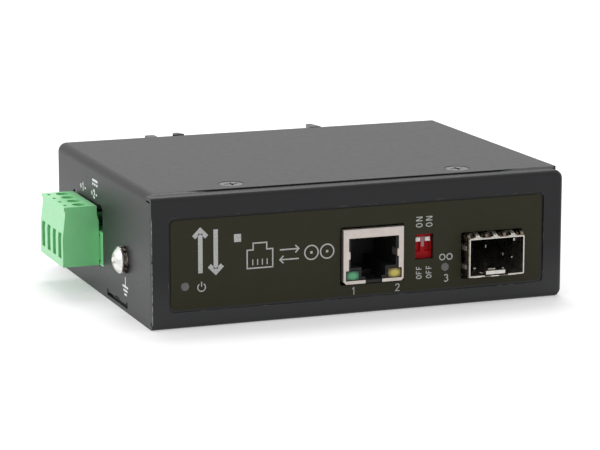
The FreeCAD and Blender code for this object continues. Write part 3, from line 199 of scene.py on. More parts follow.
def grade_colour(material, share, first, second, low=grain_low, high=grain_high):
    """The base colour runs from the first to the second while the share goes from low to high."""
    tree = material.node_tree
    ramp = tree.nodes.new("ShaderNodeValToRGB")
    for stop, place, colour in zip(ramp.color_ramp.elements, (low, high), (first, second)):
        stop.position = place
        stop.color = (*colour, 1)
    tree.links.new(share, ramp.inputs["Fac"])
    tree.links.new(ramp.outputs["Color"], tree.nodes["Principled BSDF"].inputs["Base Color"])


def vary_colour(material, size, dark, light, detail=3.0):
    grade_colour(material, noise(material, size, detail), dark, light)


def vary_roughness(material, size, smooth, rough, stretch=(1, 1, 1)):
    tree = material.node_tree
    grain = noise(material, size, stretch=stretch)
    tree.links.new(rescale(tree, grain, grain_low, grain_high, smooth, rough),
                   tree.nodes["Principled BSDF"].inputs["Roughness"])


def rounded_arris(tree, radius, samples):
    """The surface's normal, with its sharp arrises rounded by that radius."""
    arris = tree.nodes.new("ShaderNodeBevel")
    arris.samples = samples
    arris.inputs["Radius"].default_value = radius
    return arris.outputs["Normal"]


def raise_grain(material, size, height, edge=0.0):
    """Fine relief of that height; edge rounds the sharp arrises by that radius."""
    tree = material.node_tree
    bump = tree.nodes.new("ShaderNodeBump")
    bump.inputs["Strength"].default_value = 1.0
    bump.inputs["Distance"].default_value = height
    tree.links.new(noise(material, size, 2.0), bump.inputs["Height"])
    if edge:
        tree.links.new(rounded_arris(tree, edge, 6), bump.inputs["Normal"])
    tree.links.new(bump.outputs["Normal"], tree.nodes["Principled BSDF"].inputs["Normal"])


def dress(names, material):
    for name in names:
        mesh = nodes[name].data
        mesh.materials.clear()
        mesh.materials.append(material)


def place_along(tree, axis):
    """A point's place in the part along X, Y or Z."""
    where = tree.nodes.new("ShaderNodeTexCoord")
    split = tree.nodes.new("ShaderNodeSeparateXYZ")
    tree.links.new(where.outputs["Object"], split.inputs["Vector"])
    return split.outputs[axis]


def lay_over(material, share, colour):
    """The base colour goes over to that colour by the share."""
    tree = material.node_tree
    base = tree.nodes["Principled BSDF"].inputs["Base Color"]
    mixed = tree.nodes.new("ShaderNodeMix")
    mixed.data_type = "RGBA"
    tree.links.new(share, mixed.inputs["Factor"])
    tree.links.new(base.links[0].from_socket, mixed.inputs["A"])
    mixed.inputs["B"].default_value = (*colour, 1)
    tree.links.new(mixed.outputs["Result"], base)


def paint_light_low(material, start, end, painted_light_colour):
    """Painted reflection of the bright table: the colour goes over to that lighter colour between
    those heights above it.
    """
    tree = material.node_tree
    lay_over(material, rescale(tree, place_along(tree, "Z"), start, end, smooth=True), painted_light_colour)


def paint_edge_highlights(material, radius, edge_highlight_colour, sparse):
    """Painted highlights: the colour goes over to the highlight colour in patches where the surface
    turns within that radius.
    """
    tree = material.node_tree
    face = tree.nodes.new("ShaderNodeNewGeometry")
    along = tree.nodes.new("ShaderNodeVectorMath")
    along.operation = "DOT_PRODUCT"
    tree.links.new(rounded_arris(tree, radius, 4), along.inputs[0])
    tree.links.new(face.outputs["Normal"], along.inputs[1])
    turned = rescale(tree, along.outputs["Value"], still_flat, well_turned)
    patches = rescale(tree, noise(material, patch_size, 4.0), sparse, sparse + patch_edge)
    lay_over(material, calculate(tree, "MULTIPLY", turned, patches), edge_highlight_colour)


def powder_coat(name, painted_light_span, painted_light_colour, edge_highlight_colour, sparse):
    """Satin black, lighter between the two heights as a painted table reflection, with painted
    highlights in patches along its arrises.
    """
    coat = solid_material(name, (0.0058, 0.0060, 0.0072), 0.43, Specular_IOR_Level=0.32)
    vary_colour(coat, 0.5 * mm, (0.0050, 0.0052, 0.0064), (0.0066, 0.0068, 0.0080))
    paint_light_low(coat, painted_light_span[0] * mm, painted_light_span[1] * mm, painted_light_colour)
    vary_roughness(coat, 0.6 * mm, 0.40, 0.45, stretch=(0.4, 1, 1))
    raise_grain(coat, 0.30 * mm, 0.0025 * mm, edge=sheet_arris)
    # Painted edge highlights along the arrises, in patches.
    paint_edge_highlights(coat, highlight_width, edge_highlight_colour, sparse)
    return coat


# Both coats: a painted table reflection low on the walls and painted highlights on the arrises.
cover_coat = powder_coat("satin_black_cover_coat", (29, 12), (0.032, 0.0325, 0.0335),
                         (0.11, 0.11, 0.11), 0.42)
chassis_coat = powder_coat("satin_black_chassis_coat", (15, 2), (0.026, 0.0265, 0.028),
                           (0.42, 0.42, 0.42), 0.56)
dress(["chassis"], chassis_coat)
dress(["cover"], cover_coat)


# Dust strip of the plug's window: a strip of the wall's sheet that hangs from the window's upper
# edge behind the plug's back and closes the slit over it. It is coated with the wall.
window_top = 22.45
strip_sheet, strip_height = 1.0, 1.3
strip_arris = 0.15
strip_shift = 0.5


def skin(mesh, sections, ring=False):
    """Walls between neighbouring sections and, but for a ring, an end on the first and the last."""
    count = len(sections[0])
    for before, after in zip(sections, sections[1:]):
        for k in range(count):
            following = (k + 1) % count
            mesh.faces.new((before[k], before[following], after[following], after[k]))
    if not ring:
        mesh.faces.new(sections[0])
        mesh.faces.new(list(reversed(sections[-1])))


def add_piece(name, mesh, finish):
    """The mesh as a piece of the housing, in one finish."""
    bmesh.ops.recalc_face_normals(mesh, faces=mesh.faces)
    data = bpy.data.meshes.new(name)
    mesh.to_mesh(data)
    mesh.free()
    data.materials.append(finish)
    piece = bpy.data.objects.new(name, data)
    scene.collection.objects.link(piece)
    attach(piece, "housing")
    return piece


def make_window_strip():
    mesh = bmesh.new()
    low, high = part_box("terminal_plug")
    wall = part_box("cover")[0][0] / mm
    strip_foot = window_top - strip_height
    inside = wall + strip_sheet
    outline = [(wall, window_top), (inside, window_top), (inside, strip_foot),
               (wall + strip_arris, strip_foot), (wall, strip_foot + strip_arris)]
    ends = (low[1] / mm + strip_shift, high[1] / mm + strip_shift)
    skin(mesh, [[mesh.verts.new(Vector((x, y, z)) * mm) for x, z in outline] for y in ends])
    add_piece("window_strip", mesh, cover_coat)


make_window_strip()


# Closed ends of the seam: near both corners the coat bridges the open line between the rim and
# the cover, so it runs out there in a point. Each is a thin wedge from the rim up to the cover.
rim_back, rim_top, cover_edge = -36.6, 31.65, -36.1
wedge_foot, wedge_rise, wedge_depth = 0.25, 0.33, 0.3
cover_gap = 0.03
seam_ends = (((-38.3, 0.02), (-43.3, 1.0), (-50.8, 1.0), (-51.6, 0.7), (-52.3, 0.02)),
             ((37.5, 0.02), (42.5, 1.0), (51.9, 1.0)))


def make_seam_ends():
    mesh = bmesh.new()
    for steps in seam_ends:
        sections = []
        for x, share in steps:
            outline = ((rim_back - wedge_foot, rim_top),
                       (cover_edge - cover_gap, rim_top + wedge_rise * share),
                       (cover_edge - cover_gap, rim_top - wedge_depth),
                       (rim_back, rim_top - wedge_depth))
            sections.append([mesh.verts.new(Vector((x, y, z)) * mm) for y, z in outline])
        skin(mesh, sections)
    add_piece("seam_ends", mesh, cover_coat)


make_seam_ends()


# Front label: a printed polyester film, olive black with a fine matt grain, stuck into the
# front's shallow recess and cut out for the ports, the switches and the lamps.
label_film = solid_material("olive_black_label_film", (0.0195, 0.0192, 0.0065), 0.42,
                            Specular_IOR_Level=0.2)
vary_colour(label_film, 3 * mm, (0.0187, 0.0184, 0.0060), (0.0203, 0.0200, 0.0070))
vary_roughness(label_film, 1.2 * mm, 0.40, 0.46)
raise_grain(label_film, 0.12 * mm, 0.002 * mm)
dress(["front_label"], label_film)


# Print on the film: plain signs and numbers in grey screen ink a few hundredths thick, two
# arrows, a socket, a pair of fibres, the lamps' numbers and ON and OFF beside the switches.
ink_thickness = 0.02
sharpest_mitre = 0.6
barb_inset = 0.71
letters = {
    "1": [[(0.10, 0.78), (0.34, 1.0), (0.34, 0.0)]],
    "2": [[(0.02, 0.76), (0.08, 0.92), (0.24, 1.0), (0.42, 0.97), (0.54, 0.83), (0.52, 0.62),
           (0.02, 0.04), (0.58, 0.04)]],
    "3": [[(0.03, 0.84), (0.14, 0.97), (0.32, 1.0), (0.48, 0.92), (0.53, 0.76), (0.46, 0.60),
           (0.26, 0.53)],
          [(0.30, 0.53), (0.50, 0.45), (0.58, 0.28), (0.51, 0.10), (0.34, 0.0), (0.15, 0.02),
           (0.02, 0.15)]],
    "O": [[(0.30, 0.0), (0.10, 0.14), (0.02, 0.5), (0.10, 0.86), (0.30, 1.0), (0.50, 0.86),
           (0.58, 0.5), (0.50, 0.14), (0.30, 0.0)]],
    "N": [[(0.04, 0.0), (0.04, 0.96), (0.12, 0.96), (0.52, 0.04), (0.60, 0.04), (0.60, 1.0)]],
    "F": [[(0.08, 0.0), (0.08, 1.0), (0.56, 1.0)], [(0.14, 0.52), (0.48, 0.52)]],
    "+": [[(0.0, 0.5), (0.24, 0.5)], [(0.30, 0.2), (0.30, 0.8)], [(0.36, 0.5), (0.60, 0.5)]],
    "-": [[(0.04, 0.5), (0.56, 0.5)]],
}


def band(points, width):
    """Both edges of a stroke of that width at each point, mitred, and whether it is a ring."""
    places = [Vector(point) for point in points]
    ring = (places[0] - places[-1]).length < 1e-6
    steps = [(after - before).normalized() for before, after in zip(places, places[1:])]
    edges = []
    for index, here in enumerate(places):
        into = steps[index - 1] if index or ring else steps[0]
        out = steps[index] if index < len(steps) else (steps[0] if ring else steps[-1])
        middle = (into + out).normalized()
        across = Vector((-middle.y, middle.x))
        reach = width / 2 / max(across.dot(Vector((-into.y, into.x))), sharpest_mitre)
        edges.append((here + across * reach, here - across * reach))
    return edges, ring


def lay_stroke(mesh, points, width, place, thickness):
    """A closed bar along the points, on the face that place lays them on."""
    edges, ring = band(points, width)
    sections = []
    for left, right in edges[:-1] if ring else edges:
        corners = ((left, 0.0), (right, 0.0), (right, thickness), (left, thickness))
        sections.append([mesh.verts.new(place(spot.x, spot.y, height)) for spot, height in corners])
    if ring:
        sections.append(sections[0])
    skin(mesh, sections, ring)


def arc(centre, radius, first=0, last=360, steps=32):
    """Points round a centre between two angles in degrees."""
    turns = [math.radians(first + (last - first) * k / steps) for k in range(steps + 1)]
    return [(centre[0] + radius * math.cos(t), centre[1] + radius * math.sin(t)) for t in turns]


def written(text, start, height, upward=False, pitch=0.82):
    """Strokes of the text from its lower left corner, or running upward."""
    strokes = []
    for count, letter in enumerate(text):
        for line in letters[letter]:
            spots = [((u + count * pitch) * height, v * height) for u, v in line]
            strokes.append([(start[0] - v, start[1] + u) if upward
                            else (start[0] + u, start[1] + v) for u, v in spots])
    return strokes


def arrow(tail, tip, barb, width):
    """A shaft and the two barbs of its head."""
    way = (Vector(tip) - Vector(tail)).normalized()
    across = Vector((-way.y, way.x))
    back = Vector(tip) - way * barb
    return [[tail, tuple(Vector(tip) - way * width * barb_inset)],
            [tuple(back + across * barb), tip, tuple(back - across * barb)]]


def on_front(face):
    """Lays strokes on a face that looks to the front."""
    return lambda u, v, height: Vector((u, face - height, v)) * mm


def make_strokes(name, marks, place, finish, thickness=ink_thickness):
    """One piece of all the marks, each of them its strokes and their width."""
    mesh = bmesh.new()
    for strokes, width in marks:
        for points in strokes:
            lay_stroke(mesh, points, width, place, thickness)
    return add_piece(name, mesh, finish)


grey_ink = solid_material("grey_screen_ink", (0.46, 0.47, 0.45), 0.5, Specular_IOR_Level=0.3)
vary_colour(grey_ink, 0.4 * mm, (0.40, 0.41, 0.39), (0.52, 0.53, 0.51))
raise_grain(grey_ink, 0.1 * mm, 0.003 * mm)

film_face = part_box("front_label")[0][1] / mm
large_arrows = (arrow((-41.0, 13.0), (-41.0, 23.2), 1.6, 1.1)
                + arrow((-37.2, 23.2), (-37.2, 13.0), 1.6, 1.1))
small_square = [[(-32.65, 20.75), (-30.9, 20.75)]]
socket_sign = [[(-29.4, 13.2), (-23.0, 13.2), (-23.0, 17.6), (-24.5, 17.6), (-24.5, 19.2),
                (-27.9, 19.2), (-27.9, 17.6), (-29.4, 17.6), (-29.4, 13.2)]]
socket_wires = [[(x, 13.9), (x, 15.3)] for x in (-28.0, -26.8, -25.6, -24.4)]
small_arrows = (arrow((-21.2, 17.1), (-16.4, 17.1), 0.9, 0.38)
                + arrow((-16.4, 14.7), (-21.2, 14.7), 0.9, 0.38))
fibre_signs = [arc((x, 15.9), 1.7) for x in (-13.2, -9.2)]
fibre_cores = [[(x - 0.3, 15.9), (x + 0.3, 15.9)] for x in (-13.2, -9.2)]
power_sign = [arc((-40.75, 9.6), 0.95, 125, 415, 24), [(-40.75, 9.75), (-40.75, 10.95)]]
lamp_numbers = (written("1", (-2.9, 4.75), 1.75) + written("2", (8.5, 4.75), 1.75)
                + written("3", (21.3, 6.1), 1.7))
lamp_rings = [arc((x, 12.2), 0.7, steps=20) for x in (20.75, 22.65)]
switch_pitch = 2.6
switch_words = []
for shift in (0, switch_pitch):
    switch_words += written("ON", (15.4 + shift, 20.0), 1.6, True, 0.95)
    switch_words += written("OFF", (15.3 + shift, 7.3), 1.35, True)
film_marks = [(large_arrows, 1.1), (small_square, 1.9),
              (socket_sign + small_arrows + fibre_signs, 0.32), (socket_wires + power_sign, 0.26),
              (fibre_cores, 0.6), (lamp_numbers, 0.25), (lamp_rings, 0.26), (switch_words, 0.21)]
make_strokes("film_print", film_marks, on_front(film_face), grey_ink)


# Painted highlight on the left edge of the front sheet: two thin streaks of pale steel colour laid
# on the sheet's face along its rounded corner, where the light catches it.
edge_highlight_paint = solid_material("painted_edge_highlight", (0.20, 0.20, 0.20), 0.4, Specular_IOR_Level=0.4)
vary_colour(edge_highlight_paint, 1.3 * mm, (0.02, 0.02, 0.02), (0.50, 0.50, 0.49), detail=4.0)
raise_grain(edge_highlight_paint, 0.1 * mm, 0.003 * mm)

sheet_edge, sheet_face = [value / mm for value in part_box("chassis")[0][:2]]
# Streaks of the painted corner highlight.
highlight_marks = [([[(sheet_edge + 0.1, 1.4), (sheet_edge + 0.1, 16.0)]], 0.18),
                ([[(sheet_edge + 0.08, 17.0), (sheet_edge + 0.08, 26.5)]], 0.12)]
make_strokes("painted_front_edge_highlight", highlight_marks, on_front(sheet_face), edge_highlight_paint)


# Print on the left wall: white screen ink, the poles and numbers of the two supplies beside the
# plug with the sign for direct current over them, and the earth sign under the earth screw.
white_ink = solid_material("white_screen_ink", (0.84, 0.85, 0.83), 0.5, Specular_IOR_Level=0.3)
vary_colour(white_ink, 0.4 * mm, (0.78, 0.79, 0.77), (0.90, 0.91, 0.89))
raise_grain(white_ink, 0.1 * mm, 0.003 * mm)

wall_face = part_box("cover")[0][0] / mm
supply_signs = (written("+1-", (-19.6, 23.5), 1.9, pitch=1.05)
                + written("+2-", (-9.7, 23.4), 1.9, pitch=1.05))
direct_current = [[(-8.6, 27.8), (-4.0, 27.8)]]
direct_current += [[(u, 26.8), (u + 1.1, 26.8)] for u in (-8.6, -6.85, -5.1)]
earth_sign = [[(18.75, 8.65), (18.75, 6.45)], [(16.4, 6.2), (20.9, 6.2)],
              [(17.1, 5.25), (20.4, 5.25)], [(17.8, 4.3), (19.8, 4.3)]]
make_strokes("wall_print", [(supply_signs, 0.52), (direct_current, 0.6), (earth_sign, 0.5)],
             lambda u, v, height: Vector((wall_face - height, -u, v)) * mm, white_ink)


# Screws of the housing: two countersunk cross-head screws that hold the cover on the flange, and
# a pan head that passes the back wall into the cover's tab. They are steel, plated black.
dark_zinc = solid_material("black_zinc_plating", (0.08, 0.08, 0.08), 0.30, 0.9)
vary_colour(dark_zinc, 0.55 * mm, (0.012, 0.012, 0.012), (0.22, 0.22, 0.215))
vary_roughness(dark_zinc, 0.4 * mm, 0.24, 0.40)
raise_grain(dark_zinc, 0.15 * mm, 0.003 * mm, edge=0.06 * mm)
dress(["cover_screws", "back_screw"], dark_zinc)


# Copper port: a tin-plated steel shield folded round a black nylon insert with gold spring wires
# in its roof, and a green and a yellow lamp at its lower corners, their lenses with a painted glow
# brighter in the middle.
tin_plate = solid_material("satin_tin_plate", (0.53, 0.475, 0.435), 0.32, 0.85)
vary_colour(tin_plate, 2 * mm, (0.50, 0.445, 0.405), (0.56, 0.505, 0.465))
vary_roughness(tin_plate, 0.5 * mm, 0.28, 0.40)
raise_grain(tin_plate, 0.2 * mm, 0.002 * mm, edge=0.08 * mm)
dress(["rj45_shield"], tin_plate)

black_nylon = solid_material("black_nylon", (0.008, 0.008, 0.008), 0.5, Specular_IOR_Level=0.28)
vary_colour(black_nylon, 0.4 * mm, (0.006, 0.006, 0.006), (0.011, 0.011, 0.011))
vary_roughness(black_nylon, 0.8 * mm, 0.44, 0.56)
raise_grain(black_nylon, 0.25 * mm, 0.004 * mm, edge=0.08 * mm)
dress(["rj45_housing"], black_nylon)

gold_wire = solid_material("gold_plated_wire", (0.83, 0.60, 0.26), 0.25, 1.0)
vary_roughness(gold_wire, 0.3 * mm, 0.20, 0.32)
raise_grain(gold_wire, 0.15 * mm, 0.002 * mm)
dress(["rj45_contacts"], gold_wire)

# Painted glow of the lamp lenses: its spread, its mottle and the ramp's stops.
lens_spread, lens_arris = 0.56, 0.12 * mm
mottle_size, mottle_low, mottle_high = 0.6 * mm, 0.7, 1.3
rim_share, heart_share = 0.05, 0.65


def paint_lens_glow(material, node, rim, glow_colour):
    """Painted glow: the colour runs from the glowing colour in the middle of the node's front to
    rim at its outline.
    """
    low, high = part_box(node)
    middle = [(low[0] + high[0]) / 2, low[1], (low[2] + high[2]) / 2]
    spread = [(high[0] - low[0]) * lens_spread, high[1] - low[1], (high[2] - low[2]) * lens_spread]
    tree = material.node_tree
    where = tree.nodes.new("ShaderNodeTexCoord")
    turn = tree.nodes.new("ShaderNodeMapping")
    turn.inputs["Location"].default_value = [-place / size for place, size in zip(middle, spread)]
    turn.inputs["Scale"].default_value = [1 / size for size in spread]
    ball = tree.nodes.new("ShaderNodeTexGradient")
    ball.gradient_type = "SPHERICAL"
    tree.links.new(where.outputs["Object"], turn.inputs["Vector"])
    tree.links.new(turn.outputs["Vector"], ball.inputs["Vector"])
    mottle = rescale(tree, noise(material, mottle_size), 0, 1, mottle_low, mottle_high)
    share = calculate(tree, "MULTIPLY", ball.outputs["Fac"], mottle)
    grade_colour(material, share, rim, glow_colour, rim_share, heart_share)


green_lens = solid_material("green_lamp_lens", (0.035, 0.30, 0.13), 0.22, Transmission_Weight=0.2)
paint_lens_glow(green_lens, "jack_lamp_left", (0.005, 0.055, 0.025), (0.10, 0.48, 0.21))
raise_grain(green_lens, 0.5 * mm, 0.006 * mm, edge=lens_arris)
dress(["jack_lamp_left"], green_lens)

yellow_lens = solid_material("yellow_lamp_lens", (0.55, 0.42, 0.06), 0.22, Transmission_Weight=0.2)
paint_lens_glow(yellow_lens, "jack_lamp_right", (0.09, 0.06, 0.010), (0.72, 0.60, 0.11))
raise_grain(yellow_lens, 0.5 * mm, 0.006 * mm, edge=lens_arris)
dress(["jack_lamp_right"], yellow_lens)


# Fibre module cage: nickel-plated sheet folded to a tube over a black nylon connector, with a
# collar of bowed bronze spring leaves round its mouth that earth it to the front. The collar
# carries painted highlights: pale bands on every other leaf and on its left flank.
cage_steel = solid_material("nickel_plated_cage", (0.54, 0.52, 0.48), 0.3, 1.0)
vary_colour(cage_steel, 1.5 * mm, (0.47, 0.45, 0.41), (0.61, 0.59, 0.55))
vary_roughness(cage_steel, 0.4 * mm, 0.24, 0.38)
raise_grain(cage_steel, 0.2 * mm, 0.002 * mm, edge=0.06 * mm)
dress(["sfp_cage"], cage_steel)
dress(["sfp_connector"], black_nylon)

# Where the painted highlights lie on the collar's leaves.
highlit_leaf, highlight_pitch, collar_flank = 33.56 * mm, 4.67 * mm, 26.3 * mm
band_start, band_full = -0.2, 0.5


def paint_highlight_bands(material, place, pitch, flank, highlight_colour):
    """Painted highlights: the colour goes over to the highlight colour in bands, one each pitch
    from place, and left of the flank.
    """
    tree = material.node_tree
    x = place_along(tree, "X")
    turn = calculate(tree, "MULTIPLY_ADD", x, 2 * math.pi / pitch, -2 * math.pi * place / pitch)
    bands = rescale(tree, calculate(tree, "COSINE", turn), band_start, band_full)
    outside = calculate(tree, "LESS_THAN", x, flank)
    lay_over(material, calculate(tree, "MAXIMUM", bands, outside), highlight_colour)


spring_bronze = solid_material("browned_spring_bronze", (0.50, 0.44, 0.37), 0.26, 1.0)
vary_colour(spring_bronze, 0.7 * mm, (0.08, 0.06, 0.045), (0.34, 0.28, 0.22))
paint_highlight_bands(spring_bronze, highlit_leaf, highlight_pitch, collar_flank, (0.88, 0.85, 0.78))
vary_roughness(spring_bronze, 0.3 * mm, 0.20, 0.32)
raise_grain(spring_bronze, 0.15 * mm, 0.002 * mm, edge=0.05 * mm)
dress(["sfp_spring_collar"], spring_bronze)


# Retaining leaves of the cage: short nickel-plated tongues lanced out of its walls and floor and
# bowed into the bay, steep toward the mouth, where they press on the module.
leaf_length, leaf_sheet, leaf_bow = 1.5, 0.1, 0.26
leaf_steps, leaf_skew = 12, 0.4
cage_sheet, cage_depth = 0.3, 9.25
wall_leaves = ((-38.0, 14.4, 0.7), (-36.9, 9.9, 0.4), (-31.7, 9.5, 0.65), (-21.6, 9.4, 0.8))
floor_leaves = ((-35.5, 31.1, 0.6), (-37.3, 34.2, 1.9), (-37.4, 37.9, 0.6))
bright_leaf = solid_material("bright_nickel_leaf", (0.42, 0.39, 0.35), 0.2, 1.0)
vary_colour(bright_leaf, 0.6 * mm, (0.26, 0.23, 0.19), (0.58, 0.56, 0.52))
vary_roughness(bright_leaf, 0.2 * mm, 0.14, 0.28)
raise_grain(bright_leaf, 0.1 * mm, 0.002 * mm)


def bow_leaf(mesh, start, width, place):
    """A leaf bowed off its wall; place takes the height off the wall, the way across and along."""
    sections = []
    for step in range(leaf_steps + 1):
        share = step / leaf_steps
        bow = leaf_bow * math.sin(math.pi * share ** leaf_skew)
        corners = ((bow, 0), (bow, width), (bow - leaf_sheet, width), (bow - leaf_sheet, 0))
        sections.append([mesh.verts.new(place(height, across, start + leaf_length * share) * mm)
                         for height, across in corners])
    skin(mesh, sections)


def make_leaves():
    mesh = bmesh.new()
    low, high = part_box("sfp_cage")
    left_wall, right_wall = low[0] / mm + cage_sheet, high[0] / mm - cage_sheet
    floor = high[2] / mm - cage_depth
    for y, z, width in wall_leaves:
        bow_leaf(mesh, y, width, lambda h, a, y: Vector((left_wall + h, y, z + a)))
        bow_leaf(mesh, y, width, lambda h, a, y: Vector((right_wall - h, y, z + a)))
    for y, x, width in floor_leaves:
        bow_leaf(mesh, y, width, lambda h, a, y: Vector((x + a, y, floor + h)))
    add_piece("cage_leaves", mesh, bright_leaf)


make_leaves()


# Slide switches: a red moulded body that stands on the board behind the front, two white sliders
# in its slots, and between them a pale pinkish bar laid on it.
switch_red = solid_material("red_switch_body", (0.38, 0.004, 0.008), 0.5, Specular_IOR_Level=0.15)
vary_colour(switch_red, 1.5 * mm, (0.34, 0.003, 0.006), (0.42, 0.005, 0.010))
raise_grain(switch_red, 0.3 * mm, 0.003 * mm, edge=0.08 * mm)
dress(["switch_body"], switch_red)

# A pale pinkish bar on the body between the sliders.
pale_bar_finish = solid_material("pale_pink_bar", (0.40, 0.22, 0.22), 0.5, Specular_IOR_Level=0.3)
vary_colour(pale_bar_finish, 0.4 * mm, (0.26, 0.13, 0.13), (0.50, 0.30, 0.30))
raise_grain(pale_bar_finish, 0.1 * mm, 0.003 * mm)
switch_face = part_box("switch_body")[0][1] / mm
make_strokes("switch_pale_bar", [([[(16.1, 14.9), (16.1, 17.3)]], 0.75)], on_front(switch_face),
             pale_bar_finish)

slider_white = solid_material("white_slider", (0.80, 0.79, 0.77), 0.38)
vary_colour(slider_white, 0.8 * mm, (0.77, 0.76, 0.74), (0.83, 0.82, 0.80))
raise_grain(slider_white, 0.2 * mm, 0.003 * mm, edge=0.08 * mm)
dress(["switch_slider_1", "switch_slider_2"], slider_white)


# Lamps: bent clear rods carry the light of two small white lamps on the board to the front, where
# their ends stand flush in the film and look grey while the lamps are off.
light_pipe = solid_material("grey_light_pipe", (0.16, 0.16, 0.155), 0.3, Transmission_Weight=0.35)
vary_colour(light_pipe, 0.5 * mm, (0.14, 0.14, 0.135), (0.19, 0.19, 0.185))
raise_grain(light_pipe, 0.2 * mm, 0.006 * mm, edge=0.1 * mm)
dress(["power_light_pipe", "link_light_pipe"], light_pipe)
dress(["indicator_lamps"], slider_white)


# Power terminal: a green polyamide header soldered to the board by tinned pins, and the plug that
# slides into it, with four brass wire clamps that rise on bright zinc-plated screws.
green_polyamide = solid_material("green_polyamide", (0.20, 0.66, 0.26), 0.40,
                                 Specular_IOR_Level=0.7, Coat_Weight=0.7, Coat_Roughness=0.35)
vary_colour(green_polyamide, 4 * mm, (0.19, 0.64, 0.25), (0.21, 0.68, 0.28))
vary_roughness(green_polyamide, 0.6 * mm, 0.36, 0.44)
raise_grain(green_polyamide, 0.25 * mm, 0.004 * mm, edge=0.15 * mm)
dress(["terminal_plug", "terminal_header"], green_polyamide)
dress(["header_pins", "plug_contacts"], tin_plate)

clamp_brass = solid_material("plated_brass_clamp", (0.72, 0.66, 0.50), 0.3, 1.0)
vary_roughness(clamp_brass, 0.4 * mm, 0.25, 0.40)
raise_grain(clamp_brass, 0.2 * mm, 0.002 * mm, edge=0.06 * mm)

bright_zinc = solid_material("bright_zinc_plating", (0.62, 0.63, 0.64), 0.3, 1.0)
vary_colour(bright_zinc, 0.8 * mm, (0.55, 0.56, 0.58), (0.68, 0.69, 0.68))
vary_roughness(bright_zinc, 0.3 * mm, 0.24, 0.38)
raise_grain(bright_zinc, 0.1 * mm, 0.002 * mm, edge=0.05 * mm)
for pole in (1, 2, 3, 4):
    dress([f"wire_clamp_{pole}"], clamp_brass)
    dress([f"terminal_screw_{pole}"], bright_zinc)


# Earth terminal on the left wall: a bright nickel-plated pan-head screw, its toothed bronze
# lock washer and the pressed zinc-plated nut inside the wall.
nickel = solid_material("bright_nickel", (0.80, 0.79, 0.75), 0.2, 1.0)
vary_colour(nickel, 2.2 * mm, (0.60, 0.61, 0.60), (0.97, 0.95, 0.89))
vary_roughness(nickel, 0.5 * mm, 0.18, 0.30)
raise_grain(nickel, 0.3 * mm, 0.003 * mm, edge=0.1 * mm)
dress(["earth_screw"], nickel)

bronze = solid_material("toned_bronze", (0.27, 0.21, 0.185), 0.34, 1.0)
vary_colour(bronze, 0.9 * mm, (0.15, 0.11, 0.09), (0.40, 0.33, 0.30))
vary_roughness(bronze, 0.4 * mm, 0.28, 0.45)
raise_grain(bronze, 0.2 * mm, 0.004 * mm, edge=0.06 * mm)
dress(["lock_washer"], bronze)
dress(["earth_nut"], bright_zinc)


# Rail clip on the back wall: a plate with one hook and a channel, in which the latch with the
# other hook slides against a folded leaf spring. Clip and latch have a dark satin coat, the spring
# is nickel-plated strip, and four zinc-plated screws hold the plate.
clip_coat = solid_material("dark_clip_coat", (0.032, 0.032, 0.033), 0.4)
vary_colour(clip_coat, 3 * mm, (0.028, 0.028, 0.029), (0.037, 0.037, 0.038))
vary_roughness(clip_coat, 1.0 * mm, 0.36, 0.46)
raise_grain(clip_coat, 0.4 * mm, 0.01 * mm, edge=0.2 * mm)
dress(["rail_clip", "rail_latch"], clip_coat)
dress(["latch_spring"], cage_steel)
dress(["clip_screws"], bright_zinc)

spring_strip, spring_legs, latch_travel = 0.3, 5, 3.5


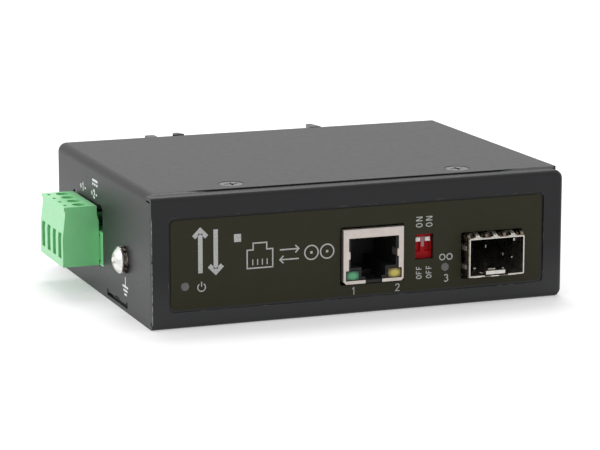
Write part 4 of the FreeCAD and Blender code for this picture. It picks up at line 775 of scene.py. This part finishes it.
def make_latch_leaf():
    """The folded spring with its round bends, a fixed piece of the housing in the part's place."""
    low, high = [[value / mm for value in corner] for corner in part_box("latch_spring")]
    length = high[0] - low[0]
    pitch = (length - spring_strip) / (spring_legs - 1)
    near, far = low[1] + spring_strip / 2, high[1] - spring_strip / 2
    line = [(low[0] + spring_strip / 2, near)]
    for leg in range(spring_legs - 1):
        middle = low[0] + spring_strip / 2 + (leg + 0.5) * pitch
        if leg % 2 == 0:
            line += arc((middle, far - pitch / 2), pitch / 2, 180, 0, 12)
        else:
            line += arc((middle, near + pitch / 2), pitch / 2, 180, 360, 12)
    line.append((high[0] - spring_strip / 2, near))
    leaf = make_strokes("latch_leaf", [([line], spring_strip)],
                        lambda u, v, height: Vector((u, v, low[2] + height)) * mm,
                        cage_steel, high[2] - low[2])
    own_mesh(leaf)
    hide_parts("latch_spring")


make_latch_leaf()


# Circuit board and its parts: green laminate screwed to four posts, with black moulded chips,
# ferrite cores, sleeved cans, a white ceramic fuse and a nickel crystal can soldered to it.
solder_resist = solid_material("green_solder_resist", (0.009, 0.06, 0.024), 0.3)
vary_colour(solder_resist, 2.5 * mm, (0.007, 0.045, 0.018), (0.012, 0.075, 0.03), detail=5.0)
raise_grain(solder_resist, 0.8 * mm, 0.01 * mm, edge=0.1 * mm)
dress(["circuit_board"], solder_resist)
dress(["board_screws", "board_standoffs"], bright_zinc)
dress(["input_fuse"], slider_white)

chip_epoxy = solid_material("black_chip_epoxy", (0.018, 0.018, 0.018), 0.5)
vary_roughness(chip_epoxy, 0.4 * mm, 0.45, 0.60)
raise_grain(chip_epoxy, 0.15 * mm, 0.006 * mm, edge=0.1 * mm)
dress(["converter_chip", "magnetics_module"], chip_epoxy)

ferrite = solid_material("grey_ferrite", (0.045, 0.045, 0.05), 0.55)
vary_colour(ferrite, 0.8 * mm, (0.035, 0.035, 0.04), (0.06, 0.06, 0.065))
raise_grain(ferrite, 0.3 * mm, 0.015 * mm, edge=0.2 * mm)
dress(["isolation_transformer", "power_inductor"], ferrite)

can_sleeve = solid_material("dark_can_sleeve", (0.02, 0.02, 0.045), 0.28)
vary_colour(can_sleeve, 3 * mm, (0.018, 0.018, 0.04), (0.025, 0.025, 0.055))
raise_grain(can_sleeve, 1.0 * mm, 0.006 * mm, edge=0.15 * mm)
dress(["bulk_capacitors"], can_sleeve)

nickel_can = solid_material("nickel_can", (0.72, 0.71, 0.68), 0.3, 1.0)
vary_roughness(nickel_can, 0.6 * mm, 0.25, 0.4)
raise_grain(nickel_can, 0.3 * mm, 0.003 * mm, edge=0.1 * mm)
dress(["crystal"], nickel_can)
